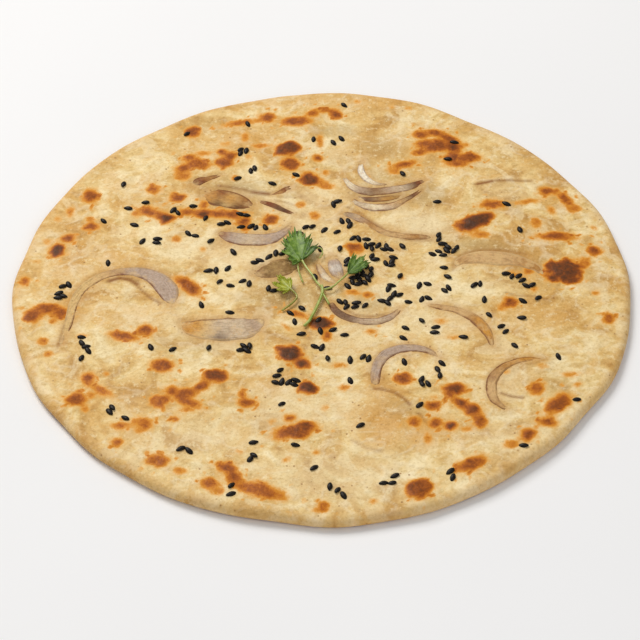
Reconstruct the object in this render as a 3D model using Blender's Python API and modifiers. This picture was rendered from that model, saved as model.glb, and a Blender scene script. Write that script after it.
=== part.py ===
# Onion kulcha: a flat round griddled bread with onion slices pressed into its top, black seeds and coriander.
# Metres, +Z up. The origin is the centre of the flat underside, and +Y points away from the eater.
# Places on the bread are written in millimetres from that centre, and scaled by MM.

import math
import random

import bmesh
import bpy
from mathutils import Vector, noise
from mathutils.bvhtree import BVHTree

MM = 0.001

# Bread
BREAD_RADIUS = 110.0
BREAD_THICKNESS = 5.2
EDGE_THINNING = 0.7  # how much lower the top lies near the rim than in the middle
EDGE_WIDTH = 3.2  # how far in from the rim the top starts to roll down
FOOT_INSET = 2.0  # how far in from the rim the flat underside ends
GRID_CELLS = 19
# The hand-rolled outline, as waves round the rim: turns, height in mm, phase in degrees
OUTLINE_WAVES = (
    (2, 0.6, 73), (4, 0.6, 11), (5, 0.25, 7), (7, 0.25, -169), (11, 0.2, 147), (16, 0.25, 20),
    (23, 0.15, 130),
)
# Waves of the top face: length and height in mm
TOP_WAVES = ((34.0, 0.55), (13.0, 0.28))
# Blisters that stand up under the larger scorch marks: x, y, radius, height
BLISTERS = (
    (44, 77, 10, 0.5), (55, 70, 7, 0.4), (57, 35, 9, 0.55), (88, 7, 9, 0.5), (-13, 75, 6, 0.5),
    (-8, 57, 6, 0.4), (-101, -14, 9, 0.5), (-60, 38, 7, 0.4), (-36, 37, 9, 0.4), (-48, 0, 6, 0.4),
    (-12, -34, 7, 0.5), (-1, -21, 6, 0.4), (-5, -50, 5, 0.4), (-39, -45, 7, 0.5), (-47, -52, 7, 0.35),
    (-10, -71, 9, 0.5), (-19, -98, 9, 0.45), (52, -63, 8, 0.5), (81, -57, 7, 0.45), (49, -86, 8, 0.4),
    (32, -98, 8, 0.45), (-10, 91, 8, 0.4), (86, 27, 8, 0.4), (-48, 66, 7, 0.4), (-85, -55, 7, 0.35),
)
# Folds of dough over slices that stay hidden: the line's points, then half width and height
FOLDS = (
    (((30, -60), (24, -55), (18, -60), (13, -70), (16, -78), (24, -79)), 6.0, 0.5),
    (((57, 54), (66, 57), (78, 57)), 2.6, 0.5),
    (((64, -3), (72, -5), (79, -7)), 2.2, 0.4),
    (((-44, 56), (-32, 54), (-22, 51)), 2.0, 0.4),
)

# Onion slices: how flat each is (thickness over width), then its middle line as x, y, half width
ONIONS = {
    "onion_left_crescent": (0.24, (
        (-91.5, -29, 0.9), (-89.4, -18, 1.7), (-88.3, -8, 1.9), (-85, 0, 2.1), (-79.5, 5.2, 2.2),
        (-72.5, 7.6, 2.2), (-66, 7.6, 2.7), (-61, 5.4, 3.6), (-56.9, 1.4, 4.3), (-54.6, -3.8, 3.9),
        (-53.2, -9, 1.7))),
    "onion_left_petal": (0.18, (
        (-49.8, -18.5, 1.4), (-45.5, -21, 4.2), (-38.5, -22.2, 5.8), (-31, -22.2, 6.2),
        (-24.8, -20.6, 4.6), (-20.6, -17, 1.5))),
    "onion_middle_crescent": (0.24, (
        (-38, 28.6, 1.0), (-34, 26.4, 2.9), (-29.5, 25.1, 3.6), (-24.5, 24.8, 3.8), (-19.6, 25.2, 3.4),
        (-15, 28, 2.4), (-11, 33, 0.8))),
    "onion_centre_petal": (0.2, (
        (-24.6, 6.4, 1.7), (-20.4, 7.2, 3.5), (-15.5, 9.4, 4.6), (-11, 11, 4.2), (-8, 12, 2.4))),
    "onion_brown_sliver": (0.36, (
        (-48.2, 54.9, 1.8), (-45.6, 57, 2.3), (-42, 58.8, 1.5), (-37.4, 60.7, 0.5))),
    "onion_sunk_petal": (0.18, (
        (-44.4, 50.6, 1.9), (-41, 48.8, 4.5), (-35.5, 47, 5.2), (-30, 45.2, 4.2), (-25.4, 43.4, 1.6))),
    "onion_brown_strip_low": (0.4, (
        (-23.4, 46.1, 0.6), (-20, 44.8, 1.3), (-17.4, 43.2, 1.6), (-14.4, 41.1, 1.3), (-10, 38.7, 0.5))),
    "onion_brown_strip_high": (0.4, (
        (-19, 49.7, 0.5), (-16, 50.6, 1.1), (-13.5, 52.2, 1.7), (-11.2, 53.2, 1.5), (-9.8, 52.8, 0.5))),
    "onion_wedge_inner": (0.5, (
        (15.6, 68.4, 0.5), (14.8, 65, 1.3), (15.2, 61.2, 1.7), (17.2, 57.8, 1.6), (20.4, 55.6, 1.2),
        (24.6, 55, 0.5))),
    "onion_wedge_middle": (0.34, (
        (8, 59.4, 0.6), (10.4, 55, 1.7), (14, 52, 2.3), (19.5, 51, 2.4), (25.5, 51.6, 2.3),
        (31.5, 53.4, 2.2), (36, 55.8, 1.6), (38.8, 57.6, 0.7))),
    "onion_wedge_core": (0.38, (
        (12.6, 48.5, 0.6), (15.4, 47, 1.2), (20, 46.6, 1.5), (25.5, 47.1, 1.5), (30.4, 49, 0.6))),
    "onion_wedge_outer": (0.38, (
        (10.9, 47.6, 0.6), (12.9, 44.6, 1.6), (17, 42.5, 2), (22, 41.9, 2.2), (26.5, 42.9, 2),
        (30.2, 45.6, 1.5), (34, 48.8, 1.1), (37.4, 52.6, 0.5))),
    "onion_upper_arc": (0.3, (
        (7.5, 38.6, 1.0), (12, 36.9, 2.0), (16, 34, 1.7), (20, 30.4, 1.6), (24, 27.9, 1.6),
        (30, 26.4, 1.6), (36, 26.1, 1.4), (40, 26, 0.7))),
    "onion_right_petal": (0.2, (
        (48.2, 11, 1.3), (51.5, 13.6, 2.6), (57.5, 14.8, 3.6), (65, 14.4, 3.8), (72, 12.8, 3.0),
        (77.5, 9.8, 2.0), (79.4, 6.2, 0.8))),
    "onion_curl_outer": (0.4, (
        (-1.7, 12, 0.7), (-0.5, 8.8, 1.4), (0.9, 5.6, 1.6), (3, 2.9, 1.3), (5.2, 1.2, 0.6))),
    "onion_curl_core": (0.3, (
        (3.2, 15.6, 1.0), (4.2, 12.6, 2.4), (4.9, 9.4, 2.9), (5.9, 6.2, 2.5), (7.4, 3.6, 1.1))),
    "onion_low_crescent": (0.5, (
        (3.2, -8, 1.0), (4.8, -12, 1.6), (8.6, -15.6, 1.8), (14, -17.8, 1.9), (20, -17.6, 1.9),
        (25, -15, 1.7), (27.8, -11.5, 0.8))),
    "onion_grey_arch": (0.4, (
        (18.5, -49.5, 1.4), (18.6, -44, 2.0), (19.8, -38.5, 2.2), (22.6, -34, 2.4), (27.5, -31.4, 2.3),
        (33, -31, 1.9), (37.5, -32.6, 1.4), (41, -36, 0.8))),
    "onion_right_arc": (0.4, (
        (37.5, -9.5, 0.8), (43, -11, 1.6), (48.5, -12.6, 1.9), (53, -15.6, 2.2), (56.5, -20, 2.3),
        (58.7, -25, 1.7), (59.6, -30, 0.8))),
    "onion_hook": (0.42, (
        (78, -37.2, 0.6), (73, -36.6, 1.2), (67, -38, 1.5), (62.4, -41.2, 1.8), (59.4, -45.6, 2.1),
        (58.4, -51, 2.1), (59.4, -56.4, 1.8), (63, -60.6, 0.8))),
}
ONION_SINK = 0.5  # a slice's middle lies this share of its half thickness below the dough
ONION_GAP = 0.4  # clearance between a slice and its seat
ONION_STEP = 8.0  # distance between a slice's cross-sections

# Black seeds
SEED_LENGTH = 3.5
SEED_WIDTH = 2.0
SEED_HEIGHT = 1.3
SEED_SINK = 0.12  # the seed's middle stands this far above the dough
SEED_SPACING = 2.0  # least distance between two seeds in a clump
SEED_CLEARANCE = 1.4  # least distance from a seed's middle to an onion slice or a low stalk
SEED_HEADROOM = 1.3  # a stalk whose underside is higher than this passes over the seeds
SCATTER_COUNT = 12
SCATTER_SPACING = 12.0
SCATTER_REACH = 104.0
RANDOM_SEED = 11
# Clumps where the seeds fell together: x, y, half length, half width, turn in degrees, how many
CLUMPS = (
    (11.5, 3, 5.4, 3, 15, 11), (16, 8, 4, 2.5, -60, 5), (10, 12, 2, 1.5, 0, 3), (25, 13, 3, 1.5, 60, 4),
    (18, 21, 3.5, 1.5, -15, 4), (23, 20, 2, 1.5, 0, 3), (14, 24.5, 3.4, 1.2, 0, 4),
    (29.5, 21, 2, 1, 90, 2), (19, 15, 1.4, 1.2, 0, 3), (8, -9.6, 3, 1.8, -30, 4), (13, -10, 4, 1.5, 0, 6),
    (23, -7, 2, 1.5, 0, 4), (24, -1, 2, 1.5, 60, 2), (27, -4, 2, 1, 45, 2), (37, -7, 1.6, 1.2, 40, 2),
    (45, -2, 1.5, 1, 0, 2), (-16, 17, 4.6, 1.2, 30, 5), (-22.5, 13, 2.2, 0.9, 40, 2),
    (-27, 3, 2, 2, -50, 3), (-40, 8, 1, 2, 90, 2), (-40, 27, 3.6, 1.5, 85, 4), (-36, 33, 2.5, 1.5, 20, 3),
    (-28, 39, 2.5, 1.5, 20, 3), (-24, 31.5, 6, 0.8, 0, 4), (-4, 32, 2, 1.2, 0, 2), (-54, 40, 1.6, 1, 0, 2),
    (-71, 42, 1.4, 1, 60, 2), (-66, 45, 1, 1, 0, 1), (9.5, 33, 2.5, 1.2, -20, 3), (-12, -48, 4, 1.5, 0, 5),
    (-15, -43.5, 2, 1, 90, 3), (-27, -31.5, 2.5, 1.5, 10, 4), (-1, -31, 1.6, 1.2, 0, 2),
    (2, -36, 1.4, 1.2, 0, 3), (16, -36.6, 2.2, 0.8, -20, 2), (35, -48, 2, 1.5, -40, 3),
    (41, -42, 3.5, 1, 80, 3), (29.5, -21, 1.6, 1, 0, 2), (-72, -61, 2, 1, 90, 2), (23, -93, 3, 3, 0, 3),
    (73, 2, 3, 1.2, -30, 3), (69, 6, 3, 1, 0, 3), (44, 20, 4, 2, 80, 4), (-93.5, -5, 2, 1.2, 90, 3),
    (-91.6, 0.5, 1.2, 1, 0, 2),
    (-29.5, 74, 1.8, 1.4, 0, 4), (-25.8, 64, 1.6, 0.8, 60, 2), (6.2, 79.8, 3, 1, 50, 2),
    (5.5, 44.8, 2.6, 0.8, 40, 2), (-18.2, -0.8, 2, 1, -45, 2), (42.6, 26.5, 2, 0.8, 90, 2),
    (41.6, 18, 2.4, 0.8, 50, 2), (48.8, 18.8, 2.4, 0.8, 60, 2), (54.6, 0.8, 4, 0.8, 10, 2),
    (35.4, 1, 3.4, 0.8, 0, 2), (-61, 23, 3, 0.8, 70, 2), (-48.4, 28.1, 2.4, 0.8, -30, 2),
    (-83, -32, 7, 5, -70, 5), (38.5, -18, 6, 3, -70, 3), (63, -21, 3, 0.8, -50, 2), (76, -6.5, 5, 1, 15, 2),
    (-44.7, -79.6, 3.4, 0.8, -10, 2), (-23.5, -80, 6, 1, 90, 3), (-30, -96.5, 3, 0.8, 90, 2),
    (6, -98, 4.5, 0.9, -40, 3), (43.5, -90, 4, 1, 80, 2),
)

# Coriander: each stalk's points as x, y and height of its middle above the dough, then its radius
SPRIG_STALKS = (
    (((-6.4, -21.3, 0.95), (-4.6, -19, 1.0), (-3, -15.1, 1.15), (-1, -9.3, 1.3), (0.3, -4.4, 1.4),
      (0, -0.6, 1.4)), 0.56),
    (((0.1, -2, 1.4), (-1.8, 0.6, 1.5), (-3.6, 4.5, 1.7), (-5.6, 8.2, 1.8), (-7.2, 12, 1.9)), 0.36),
    (((-8.6, 12.6, 1.85), (-8.5, 8, 1.5), (-7.5, 3.2, 1.2), (-6.5, 0.7, 0.9)), 0.28),
    (((0.3, -4.8, 1.4), (1.8, -8.2, 1.3), (2.7, -10.6, 1.25)), 0.38),
    (((0.2, -3.2, 1.4), (3.8, -2.2, 1.8), (6.2, 0.4, 2.0), (8.4, 3, 2.1), (9.6, 5, 2.1)), 0.32),
    (((-3.2, 17.6, 2.0), (-0.4, 17.9, 1.9), (0.3, 15.4, 1.6), (-1, 12.9, 1.5)), 0.22),
)
LEAF_STALKS = (
    (((-14.3, -13, 0.66), (-12, -11, 0.9), (-9.5, -8.2, 1.2), (-8.9, -5.8, 1.4), (-11.6, -2.2, 1.55)), 0.36),
)
STALK_STEP = 5.0  # distance between a stalk's cross-sections
# Leaves: foot x, y, height, then each lobe's heading in degrees, length and half spread in degrees
SPRIG_LEAVES = (
    ((-7.4, 11.4, 1.8), (
        (99, 19, 32), (122, 13.8, 20), (143, 9.8, 22), (76, 14.4, 20), (54, 11, 22), (172, 5.4, 28),
        (214, 4.6, 30))),
    ((9.3, 4.4, 2.1), ((72, 11, 15), (54, 12.2, 18), (34, 10.8, 22), (8, 5.4, 26))),
)
LOOSE_LEAVES = (
    ((-11, -3, 1.5), ((126, 8.9, 26), (159, 8.0, 24), (192, 5.8, 28), (224, 4.4, 24), (98, 6.2, 24))),
)
LEAF_HEART = 1.3  # least reach of a leaf from its foot
LEAF_RISE = 0.9  # how much higher the lobes' tips are than the foot
LEAF_PLEAT = 0.3
LEAF_THICKNESS = 0.36
LEAF_CELL_ANGLE = 11.0
LEAF_LENGTH_CELLS = 2

# Colour and roughness of each kind of surface
FINISHES = {
    "bread": ((0.80, 0.60, 0.34), 0.7),
    "onion": ((0.60, 0.48, 0.38), 0.4),
    "browned_onion": ((0.30, 0.14, 0.07), 0.5),
    "coriander": ((0.16, 0.27, 0.06), 0.55),
}


def clear_scene():
    for obj in list(bpy.data.objects):
        bpy.data.objects.remove(obj, do_unlink=True)


def new_collection(name):
    collection = bpy.data.collections.new(name)
    bpy.context.scene.collection.children.link(collection)
    return collection


def add_material(obj, finish):
    colour, roughness = FINISHES[finish]
    made = bpy.data.materials.new(obj.name)
    made.use_nodes = True
    shader = made.node_tree.nodes["Principled BSDF"]
    shader.inputs["Base Color"].default_value = (*colour, 1.0)
    shader.inputs["Roughness"].default_value = roughness
    shader.inputs["Metallic"].default_value = 0.0
    obj.data.materials.append(made)


def object_from_bmesh(name, bm, collection, finish=None):
    mesh = bpy.data.meshes.new(name)
    bm.to_mesh(mesh)
    bm.free()
    obj = bpy.data.objects.new(name, mesh)
    collection.objects.link(obj)
    if finish:
        add_material(obj, finish)
    return obj


# Distance in millimetres from a place to a line of points
def line_distance(x, y, points):
    nearest = math.inf
    for (ax, ay), (bx, by) in zip(points, points[1:]):
        dx, dy = bx - ax, by - ay
        share = ((x - ax) * dx + (y - ay) * dy) / (dx * dx + dy * dy)
        share = min(1.0, max(0.0, share))
        nearest = min(nearest, math.hypot(x - ax - share * dx, y - ay - share * dy))
    return nearest


# Height of the bread's top over its underside, in millimetres
def top_height(x, y):
    out = math.hypot(x, y) / BREAD_RADIUS
    height = BREAD_THICKNESS - EDGE_THINNING * out**4
    for layer, (length, rise) in enumerate(TOP_WAVES):
        height += rise * noise.noise(Vector((x / length, y / length, 3.7 + layer)))
    for bx, by, radius, rise in BLISTERS:
        away = math.hypot(x - bx, y - by) / radius
        height += rise * math.exp(-2.5 * away**2)
    for points, half_width, rise in FOLDS:
        away = line_distance(x, y, points) / half_width
        height += rise * math.exp(-1.5 * away**2)
    return height


# Radius of the bread's rim at an angle, in millimetres
def rim_radius(angle):
    radius = BREAD_RADIUS
    for turns, rise, phase in OUTLINE_WAVES:
        radius += rise * math.cos(turns * angle - math.radians(phase))
    return radius


# A square's point moved onto the unit disc
def disc_point(u, v):
    return u * math.sqrt(1 - v * v / 2), v * math.sqrt(1 - u * u / 2)


def boundary_loop(bm):
    return [edge for edge in bm.edges if edge.is_boundary]


# Copies the open rim and moves the copy in from the outline, to a share of the top's height
def roll_rim(bm, inset, height_share):
    made = bmesh.ops.extrude_edge_only(bm, edges=boundary_loop(bm))
    for vert in [v for v in made["geom"] if isinstance(v, bmesh.types.BMVert)]:
        angle = math.atan2(vert.co.y, vert.co.x)
        radius = rim_radius(angle) - inset
        edge_height = top_height(
            (radius - EDGE_WIDTH) * math.cos(angle), (radius - EDGE_WIDTH) * math.sin(angle)
        )
        vert.co = (
            radius * MM * math.cos(angle),
            radius * MM * math.sin(angle),
            edge_height * height_share * MM,
        )


def make_bread(collection):
    bm = bmesh.new()
    bmesh.ops.create_grid(bm, x_segments=GRID_CELLS, y_segments=GRID_CELLS, size=1.0)
    for vert in bm.verts:
        u, v = disc_point(vert.co.x, vert.co.y)
        reach = rim_radius(math.atan2(v, u)) - EDGE_WIDTH
        x, y = u * reach, v * reach
        vert.co = (x * MM, y * MM, top_height(x, y) * MM)
    for inset, height_share in ((1.0, 0.84), (0.0, 0.48), (0.7, 0.14), (FOOT_INSET, 0.0)):
        roll_rim(bm, inset, height_share)
    bmesh.ops.holes_fill(bm, edges=boundary_loop(bm))
    bmesh.ops.recalc_face_normals(bm, faces=bm.faces)
    bread = object_from_bmesh("kulcha", bm, collection, "bread")
    centre_on_origin(bread)
    return bread


def centre_on_origin(obj):
    across = [v.co.x for v in obj.data.vertices]
    along = [v.co.y for v in obj.data.vertices]
    middle_x = (min(across) + max(across)) / 2
    middle_y = (min(along) + max(along)) / 2
    for vert in obj.data.vertices:
        vert.co.x -= middle_x
        vert.co.y -= middle_y


# A smooth line through the given points, with every number of a point carried along
def smooth_route(points, step):
    ends = [points[0], *points, points[-1]]
    route = []
    for before, start, stop, after in zip(ends, ends[1:], ends[2:], ends[3:]):
        pieces = max(1, round(math.dist(start[:2], stop[:2]) / step))
        for piece in range(pieces):
            t = piece / pieces
            route.append(tuple(
                0.5 * (2 * b + (c - a) * t + (2 * a - 5 * b + 4 * c - d) * t**2
                       + (3 * b - a - 3 * c + d) * t**3)
                for a, b, c, d in zip(before, start, stop, after)
            ))
    return route + [points[-1]]


# A closed tube mesh along points of x, y, z, radius in millimetres
def tube_mesh(name, points, sides_resolution):
    curve = bpy.data.curves.new(name, "CURVE")
    curve.dimensions = "3D"
    curve.twist_mode = "Z_UP"
    curve.bevel_depth = MM
    curve.bevel_resolution = sides_resolution
    curve.use_fill_caps = True
    spline = curve.splines.new("POLY")
    spline.points.add(len(points) - 1)
    for point, (x, y, z, radius) in zip(spline.points, points):
        point.co = (x * MM, y * MM, z * MM, 1.0)
        point.radius = radius
    guide = bpy.data.objects.new(name + "_guide", curve)
    bpy.context.scene.collection.objects.link(guide)
    graph = bpy.context.evaluated_depsgraph_get()
    mesh = bpy.data.meshes.new_from_object(guide.evaluated_get(graph))
    bpy.data.objects.remove(guide)
    bm = bmesh.new()
    bm.from_mesh(mesh)
    bpy.data.meshes.remove(mesh)
    bmesh.ops.remove_doubles(bm, verts=bm.verts, dist=1e-7)
    bmesh.ops.recalc_face_normals(bm, faces=bm.faces)
    return bm


# One onion slice: a tapering band, flattened, bent to the bread's top and sunk into it
def onion_bmesh(name, flatness, line):
    points = [(x, y, -ONION_SINK * half, half) for x, y, half in smooth_route(line, ONION_STEP)]
    bm = tube_mesh(name, points, 2)
    for vert in bm.verts:
        vert.co.z *= flatness
        vert.co.z += top_height(vert.co.x / MM, vert.co.y / MM) * MM
    return bm


def make_onions(collection, seats):
    for name, (flatness, line) in ONIONS.items():
        finish = "browned_onion" if "brown" in name else "onion"
        bm = onion_bmesh(name, flatness, line)
        seat = object_from_bmesh(name + "_seat", bm.copy(), seats)
        seat.hide_render = True
        seat.display_type = "WIRE"
        grow = seat.modifiers.new("Clearance", "DISPLACE")
        grow.strength = ONION_GAP * MM
        grow.mid_level = 0.0
        onion = object_from_bmesh(name, bm, collection, finish)
        onion.data.shade_smooth()


# The slices and the stalks too low to pass over a seed, as lines of x, y, half width
def seed_obstacles():
    lines = [smooth_route(line, ONION_STEP) for _flatness, line in ONIONS.values()]
    for points, radius in SPRIG_STALKS + LEAF_STALKS:
        low = [(x, y, radius) for x, y, height in points if height - radius < SEED_HEADROOM]
        lines.append(low)
    return lines


def is_blocked(x, y, obstacles):
    for line in obstacles:
        for (ax, ay, ar), (bx, by, br) in zip(line, line[1:]):
            if line_distance(x, y, ((ax, ay), (bx, by))) < max(ar, br) + SEED_CLEARANCE:
                return True
    return False


# Where the seeds lie: x, y, turn and tilt, clumps first and then an even scatter
def seed_places():
    draw = random.Random(RANDOM_SEED)
    obstacles = seed_obstacles()
    places = []

    def try_place(x, y, spacing):
        turn, tilt = draw.uniform(0, math.pi), draw.uniform(-0.2, 0.2)
        if math.hypot(x, y) > SCATTER_REACH or is_blocked(x, y, obstacles):
            return False
        if any(math.hypot(x - px, y - py) < spacing for px, py, _turn, _tilt in places):
            return False
        places.append((x, y, turn, tilt))
        return True

    for cx, cy, half_length, half_width, turn, count in CLUMPS:
        placed = 0
        for _attempt in range(40 * count):
            if placed == count:
                break
            out, angle = math.sqrt(draw.random()), draw.uniform(0, 2 * math.pi)
            along, across = out * half_length * math.cos(angle), out * half_width * math.sin(angle)
            cos, sin = math.cos(math.radians(turn)), math.sin(math.radians(turn))
            x, y = cx + along * cos - across * sin, cy + along * sin + across * cos
            placed += try_place(x, y, SEED_SPACING)
    placed = 0
    while placed < SCATTER_COUNT:
        x = draw.uniform(-SCATTER_REACH, SCATTER_REACH)
        y = draw.uniform(-SCATTER_REACH, SCATTER_REACH)
        placed += try_place(x, y, SCATTER_SPACING)
    return places


# A teardrop seed lying along X, blunt at one end
def seed_bmesh():
    bm = bmesh.new()
    bmesh.ops.create_uvsphere(bm, u_segments=5, v_segments=3, radius=0.5)
    for vert in bm.verts:
        along = vert.co.z * 2
        slim = 1.0 - 0.28 * max(0.0, along)
        vert.co = (
            along / 2 * SEED_LENGTH * MM,
            vert.co.x * slim * SEED_WIDTH * MM,
            vert.co.y * slim * SEED_HEIGHT * MM,
        )
    bmesh.ops.recalc_face_normals(bm, faces=bm.faces)
    return bm


def fuse_seeds(bread, collection):
    seed_mesh = bpy.data.meshes.new("seed")
    bm = seed_bmesh()
    bm.to_mesh(seed_mesh)
    bm.free()
    surface = BVHTree.FromPolygons(
        [v.co for v in bread.data.vertices], [p.vertices for p in bread.data.polygons]
    )
    for number, (x, y, turn, tilt) in enumerate(seed_places()):
        above = Vector((x * MM, y * MM, 2 * BREAD_THICKNESS * MM))
        spot, _normal, _face, _distance = surface.ray_cast(above, Vector((0, 0, -1)))
        seed = bpy.data.objects.new(f"seed_{number:03d}", seed_mesh)
        seed.location = spot + Vector((0, 0, SEED_SINK * MM))
        seed.rotation_euler = (0, tilt, turn)
        collection.objects.link(seed)
    boolean(bread, "UNION", collection)
    keep_main_body(bread.data)
    for seed in list(collection.objects):
        bpy.data.objects.remove(seed)
    bpy.data.collections.remove(collection)


# Drops the scraps and sealed pockets that hang on a mesh by single edges or corners
def keep_main_body(mesh):
    bm = bmesh.new()
    bm.from_mesh(mesh)
    bmesh.ops.triangulate(bm, faces=bm.faces)
    unseen = set(bm.faces)
    bodies = []
    while unseen:
        body = [unseen.pop()]
        for face in body:
            for edge in face.edges:
                if len(edge.link_faces) == 2:
                    found = [other for other in edge.link_faces if other in unseen]
                    unseen.difference_update(found)
                    body.extend(found)
        bodies.append(body)
    bodies.sort(key=len)
    scraps = [face for body in bodies[:-1] for face in body]
    bmesh.ops.delete(bm, geom=scraps, context="FACES")
    bm.to_mesh(mesh)
    bm.free()


def boolean(obj, operation, collection, solver="EXACT"):
    modifier = obj.modifiers.new(operation.title(), "BOOLEAN")
    modifier.operation = operation
    modifier.operand_type = "COLLECTION"
    modifier.collection = collection
    modifier.solver = solver
    graph = bpy.context.evaluated_depsgraph_get()
    mesh = bpy.data.meshes.new_from_object(obj.evaluated_get(graph))
    obj.modifiers.remove(modifier)
    obj.data = mesh


# How far a leaf reaches from its foot at an angle in degrees
def leaf_reach(lobes, angle):
    reach = LEAF_HEART
    for heading, length, spread in lobes:
        off = (angle - heading) / spread
        reach = max(reach, length * (1 - off * off))
    return reach


# A wavy fan of lobes round the foot, given thickness on both sides
def make_leaf(number, foot, lobes, collection):
    start = min(heading - spread for heading, _length, spread in lobes)
    sweep = max(heading + spread for heading, _length, spread in lobes) - start
    bm = bmesh.new()
    bmesh.ops.create_grid(
        bm, x_segments=round(sweep / LEAF_CELL_ANGLE), y_segments=LEAF_LENGTH_CELLS, size=1.0
    )
    for vert in bm.verts:
        angle, out = start + sweep * (1 - vert.co.x) / 2, (vert.co.y + 1) / 2
        radius = leaf_reach(lobes, angle) * (0.06 + 0.94 * out)
        x = foot[0] + radius * math.cos(math.radians(angle))
        y = foot[1] + radius * math.sin(math.radians(angle))
        pleat = LEAF_PLEAT * out * math.cos(math.radians(9 * angle))
        height = top_height(x, y) + foot[2] + LEAF_RISE * out * out + pleat
        vert.co = (x * MM, y * MM, height * MM)
    bmesh.ops.triangulate(bm, faces=bm.faces)
    bmesh.ops.recalc_face_normals(bm, faces=bm.faces)
    obj = object_from_bmesh(f"leaf_{number}", bm, collection)
    thicken = obj.modifiers.new("Thickness", "SOLIDIFY")
    thicken.thickness = LEAF_THICKNESS * MM
    thicken.offset = 0.0


def stalk_bmesh(points, radius):
    route = [
        (x, y, top_height(x, y) + height, radius) for x, y, height in smooth_route(points, STALK_STEP)
    ]
    return tube_mesh("stalk", route, 1)


# The first stalk, with the leaves and the other stalks joined to it
def make_coriander(name, stalks, leaves, collection):
    pieces = new_collection(name + "_pieces")
    for number, (foot, lobes) in enumerate(leaves):
        make_leaf(number, foot, lobes, pieces)
    for number, (points, radius) in enumerate(stalks[1:]):
        object_from_bmesh(f"stalk_{number}", stalk_bmesh(points, radius), pieces)
    sprig = object_from_bmesh(name, stalk_bmesh(*stalks[0]), collection, "coriander")
    boolean(sprig, "UNION", pieces, "MANIFOLD")
    for piece in list(pieces.objects):
        bpy.data.objects.remove(piece)
    bpy.data.collections.remove(pieces)
    sprig.data.shade_smooth()
    sprig.data.set_sharp_from_angle(angle=math.radians(40))


def build():
    clear_scene()
    model = new_collection("onion_kulcha")
    seats = new_collection("onion_seats")
    bread = make_bread(model)
    fuse_seeds(bread, new_collection("seeds"))
    make_onions(model, seats)
    boolean(bread, "DIFFERENCE", seats)
    make_coriander("coriander_sprig", SPRIG_STALKS, SPRIG_LEAVES, model)
    make_coriander("coriander_leaf", LEAF_STALKS, LOOSE_LEAVES, model)


build()
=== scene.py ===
import math
import random

import bmesh
import bpy
import numpy as np
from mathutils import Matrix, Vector, noise


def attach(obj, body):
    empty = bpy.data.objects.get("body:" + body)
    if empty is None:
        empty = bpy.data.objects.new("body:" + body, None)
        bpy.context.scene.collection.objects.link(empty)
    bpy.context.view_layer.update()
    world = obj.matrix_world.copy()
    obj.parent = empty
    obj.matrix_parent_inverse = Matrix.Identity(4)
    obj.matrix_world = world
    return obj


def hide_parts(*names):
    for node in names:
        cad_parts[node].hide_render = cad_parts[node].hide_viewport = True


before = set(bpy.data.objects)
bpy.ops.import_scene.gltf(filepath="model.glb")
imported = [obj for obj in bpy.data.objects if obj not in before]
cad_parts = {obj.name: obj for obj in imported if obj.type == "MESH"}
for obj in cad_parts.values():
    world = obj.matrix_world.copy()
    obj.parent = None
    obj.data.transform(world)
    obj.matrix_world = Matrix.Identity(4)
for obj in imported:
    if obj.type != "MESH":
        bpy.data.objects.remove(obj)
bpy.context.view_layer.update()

mm = 0.001
scene = bpy.context.scene
print("frame loaded:", len(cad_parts), "solids")

# The photograph's viewpoint
camera = {
    "lens": 146,
    "tilt": 44.5,  # degrees above the horizon
    "distance": 0.9254,
    "target": (-0.0006, -0.0119, 0),
}
tilt = math.radians(camera["tilt"])
cameraData = bpy.data.cameras.new("camera")
cameraData.lens = camera["lens"]
cameraData.sensor_width = 36.0
cameraObject = bpy.data.objects.new("camera", cameraData)
back = Vector((0, -math.cos(tilt), math.sin(tilt)))
cameraObject.location = Vector(camera["target"]) + back * camera["distance"]
cameraObject.rotation_euler = (math.pi / 2 - tilt, 0, 0)
scene.collection.objects.link(cameraObject)
scene.camera = cameraObject
scene.view_settings.view_transform = "Standard"
scene.view_settings.look = "None"

# One broad soft box behind on the left, a weak fill in front, a pale room
lights = {
    "key": {"place": (-0.66, 0.9, 1.25), "size": 0.85, "power": 21.1, "colour": (1, 0.97, 0.925)},
    "fill": {"place": (0.4, -0.9, 0.9), "size": 1, "power": 3.9, "colour": (0.97, 0.98, 1)},
    "room": 0.36,
}
for lightName in ("key", "fill"):
    light = lights[lightName]
    lightData = bpy.data.lights.new(lightName, "AREA")
    lightData.shape = "SQUARE"
    lightData.size = light["size"]
    lightData.energy = light["power"]
    lightData.color = light["colour"]
    lamp = bpy.data.objects.new(lightName, lightData)
    lamp.location = light["place"]
    lamp.rotation_euler = (-Vector(light["place"])).to_track_quat("-Z", "Y").to_euler()
    scene.collection.objects.link(lamp)
world = bpy.data.worlds.new("paleRoom")
world.use_nodes = True
room = world.node_tree.nodes["Background"].inputs
room["Color"].default_value = (1, 1, 1, 1)
room["Strength"].default_value = lights["room"]
scene.world = world
print("camera and lights placed")


def linear(red, green, blue):  # a colour as a screen shows it, 0 to 255
    def one(part):
        part /= 255
        return part / 12.92 if part <= 0.04045 else ((part + 0.055) / 1.055) ** 2.4
    return (one(red), one(green), one(blue), 1.0)


def screenColour(value):  # three numbers are a screen's colour, anything else stays
    return linear(*value) if isinstance(value, tuple) and len(value) == 3 else value


def feed(tree, sockets, values):  # numbers and colours are set, anything else is linked
    for socket, value in zip(sockets, values):
        if isinstance(value, (tuple, int, float)):
            socket.default_value = screenColour(value)
        else:
            tree.links.new(value, socket)


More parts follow.
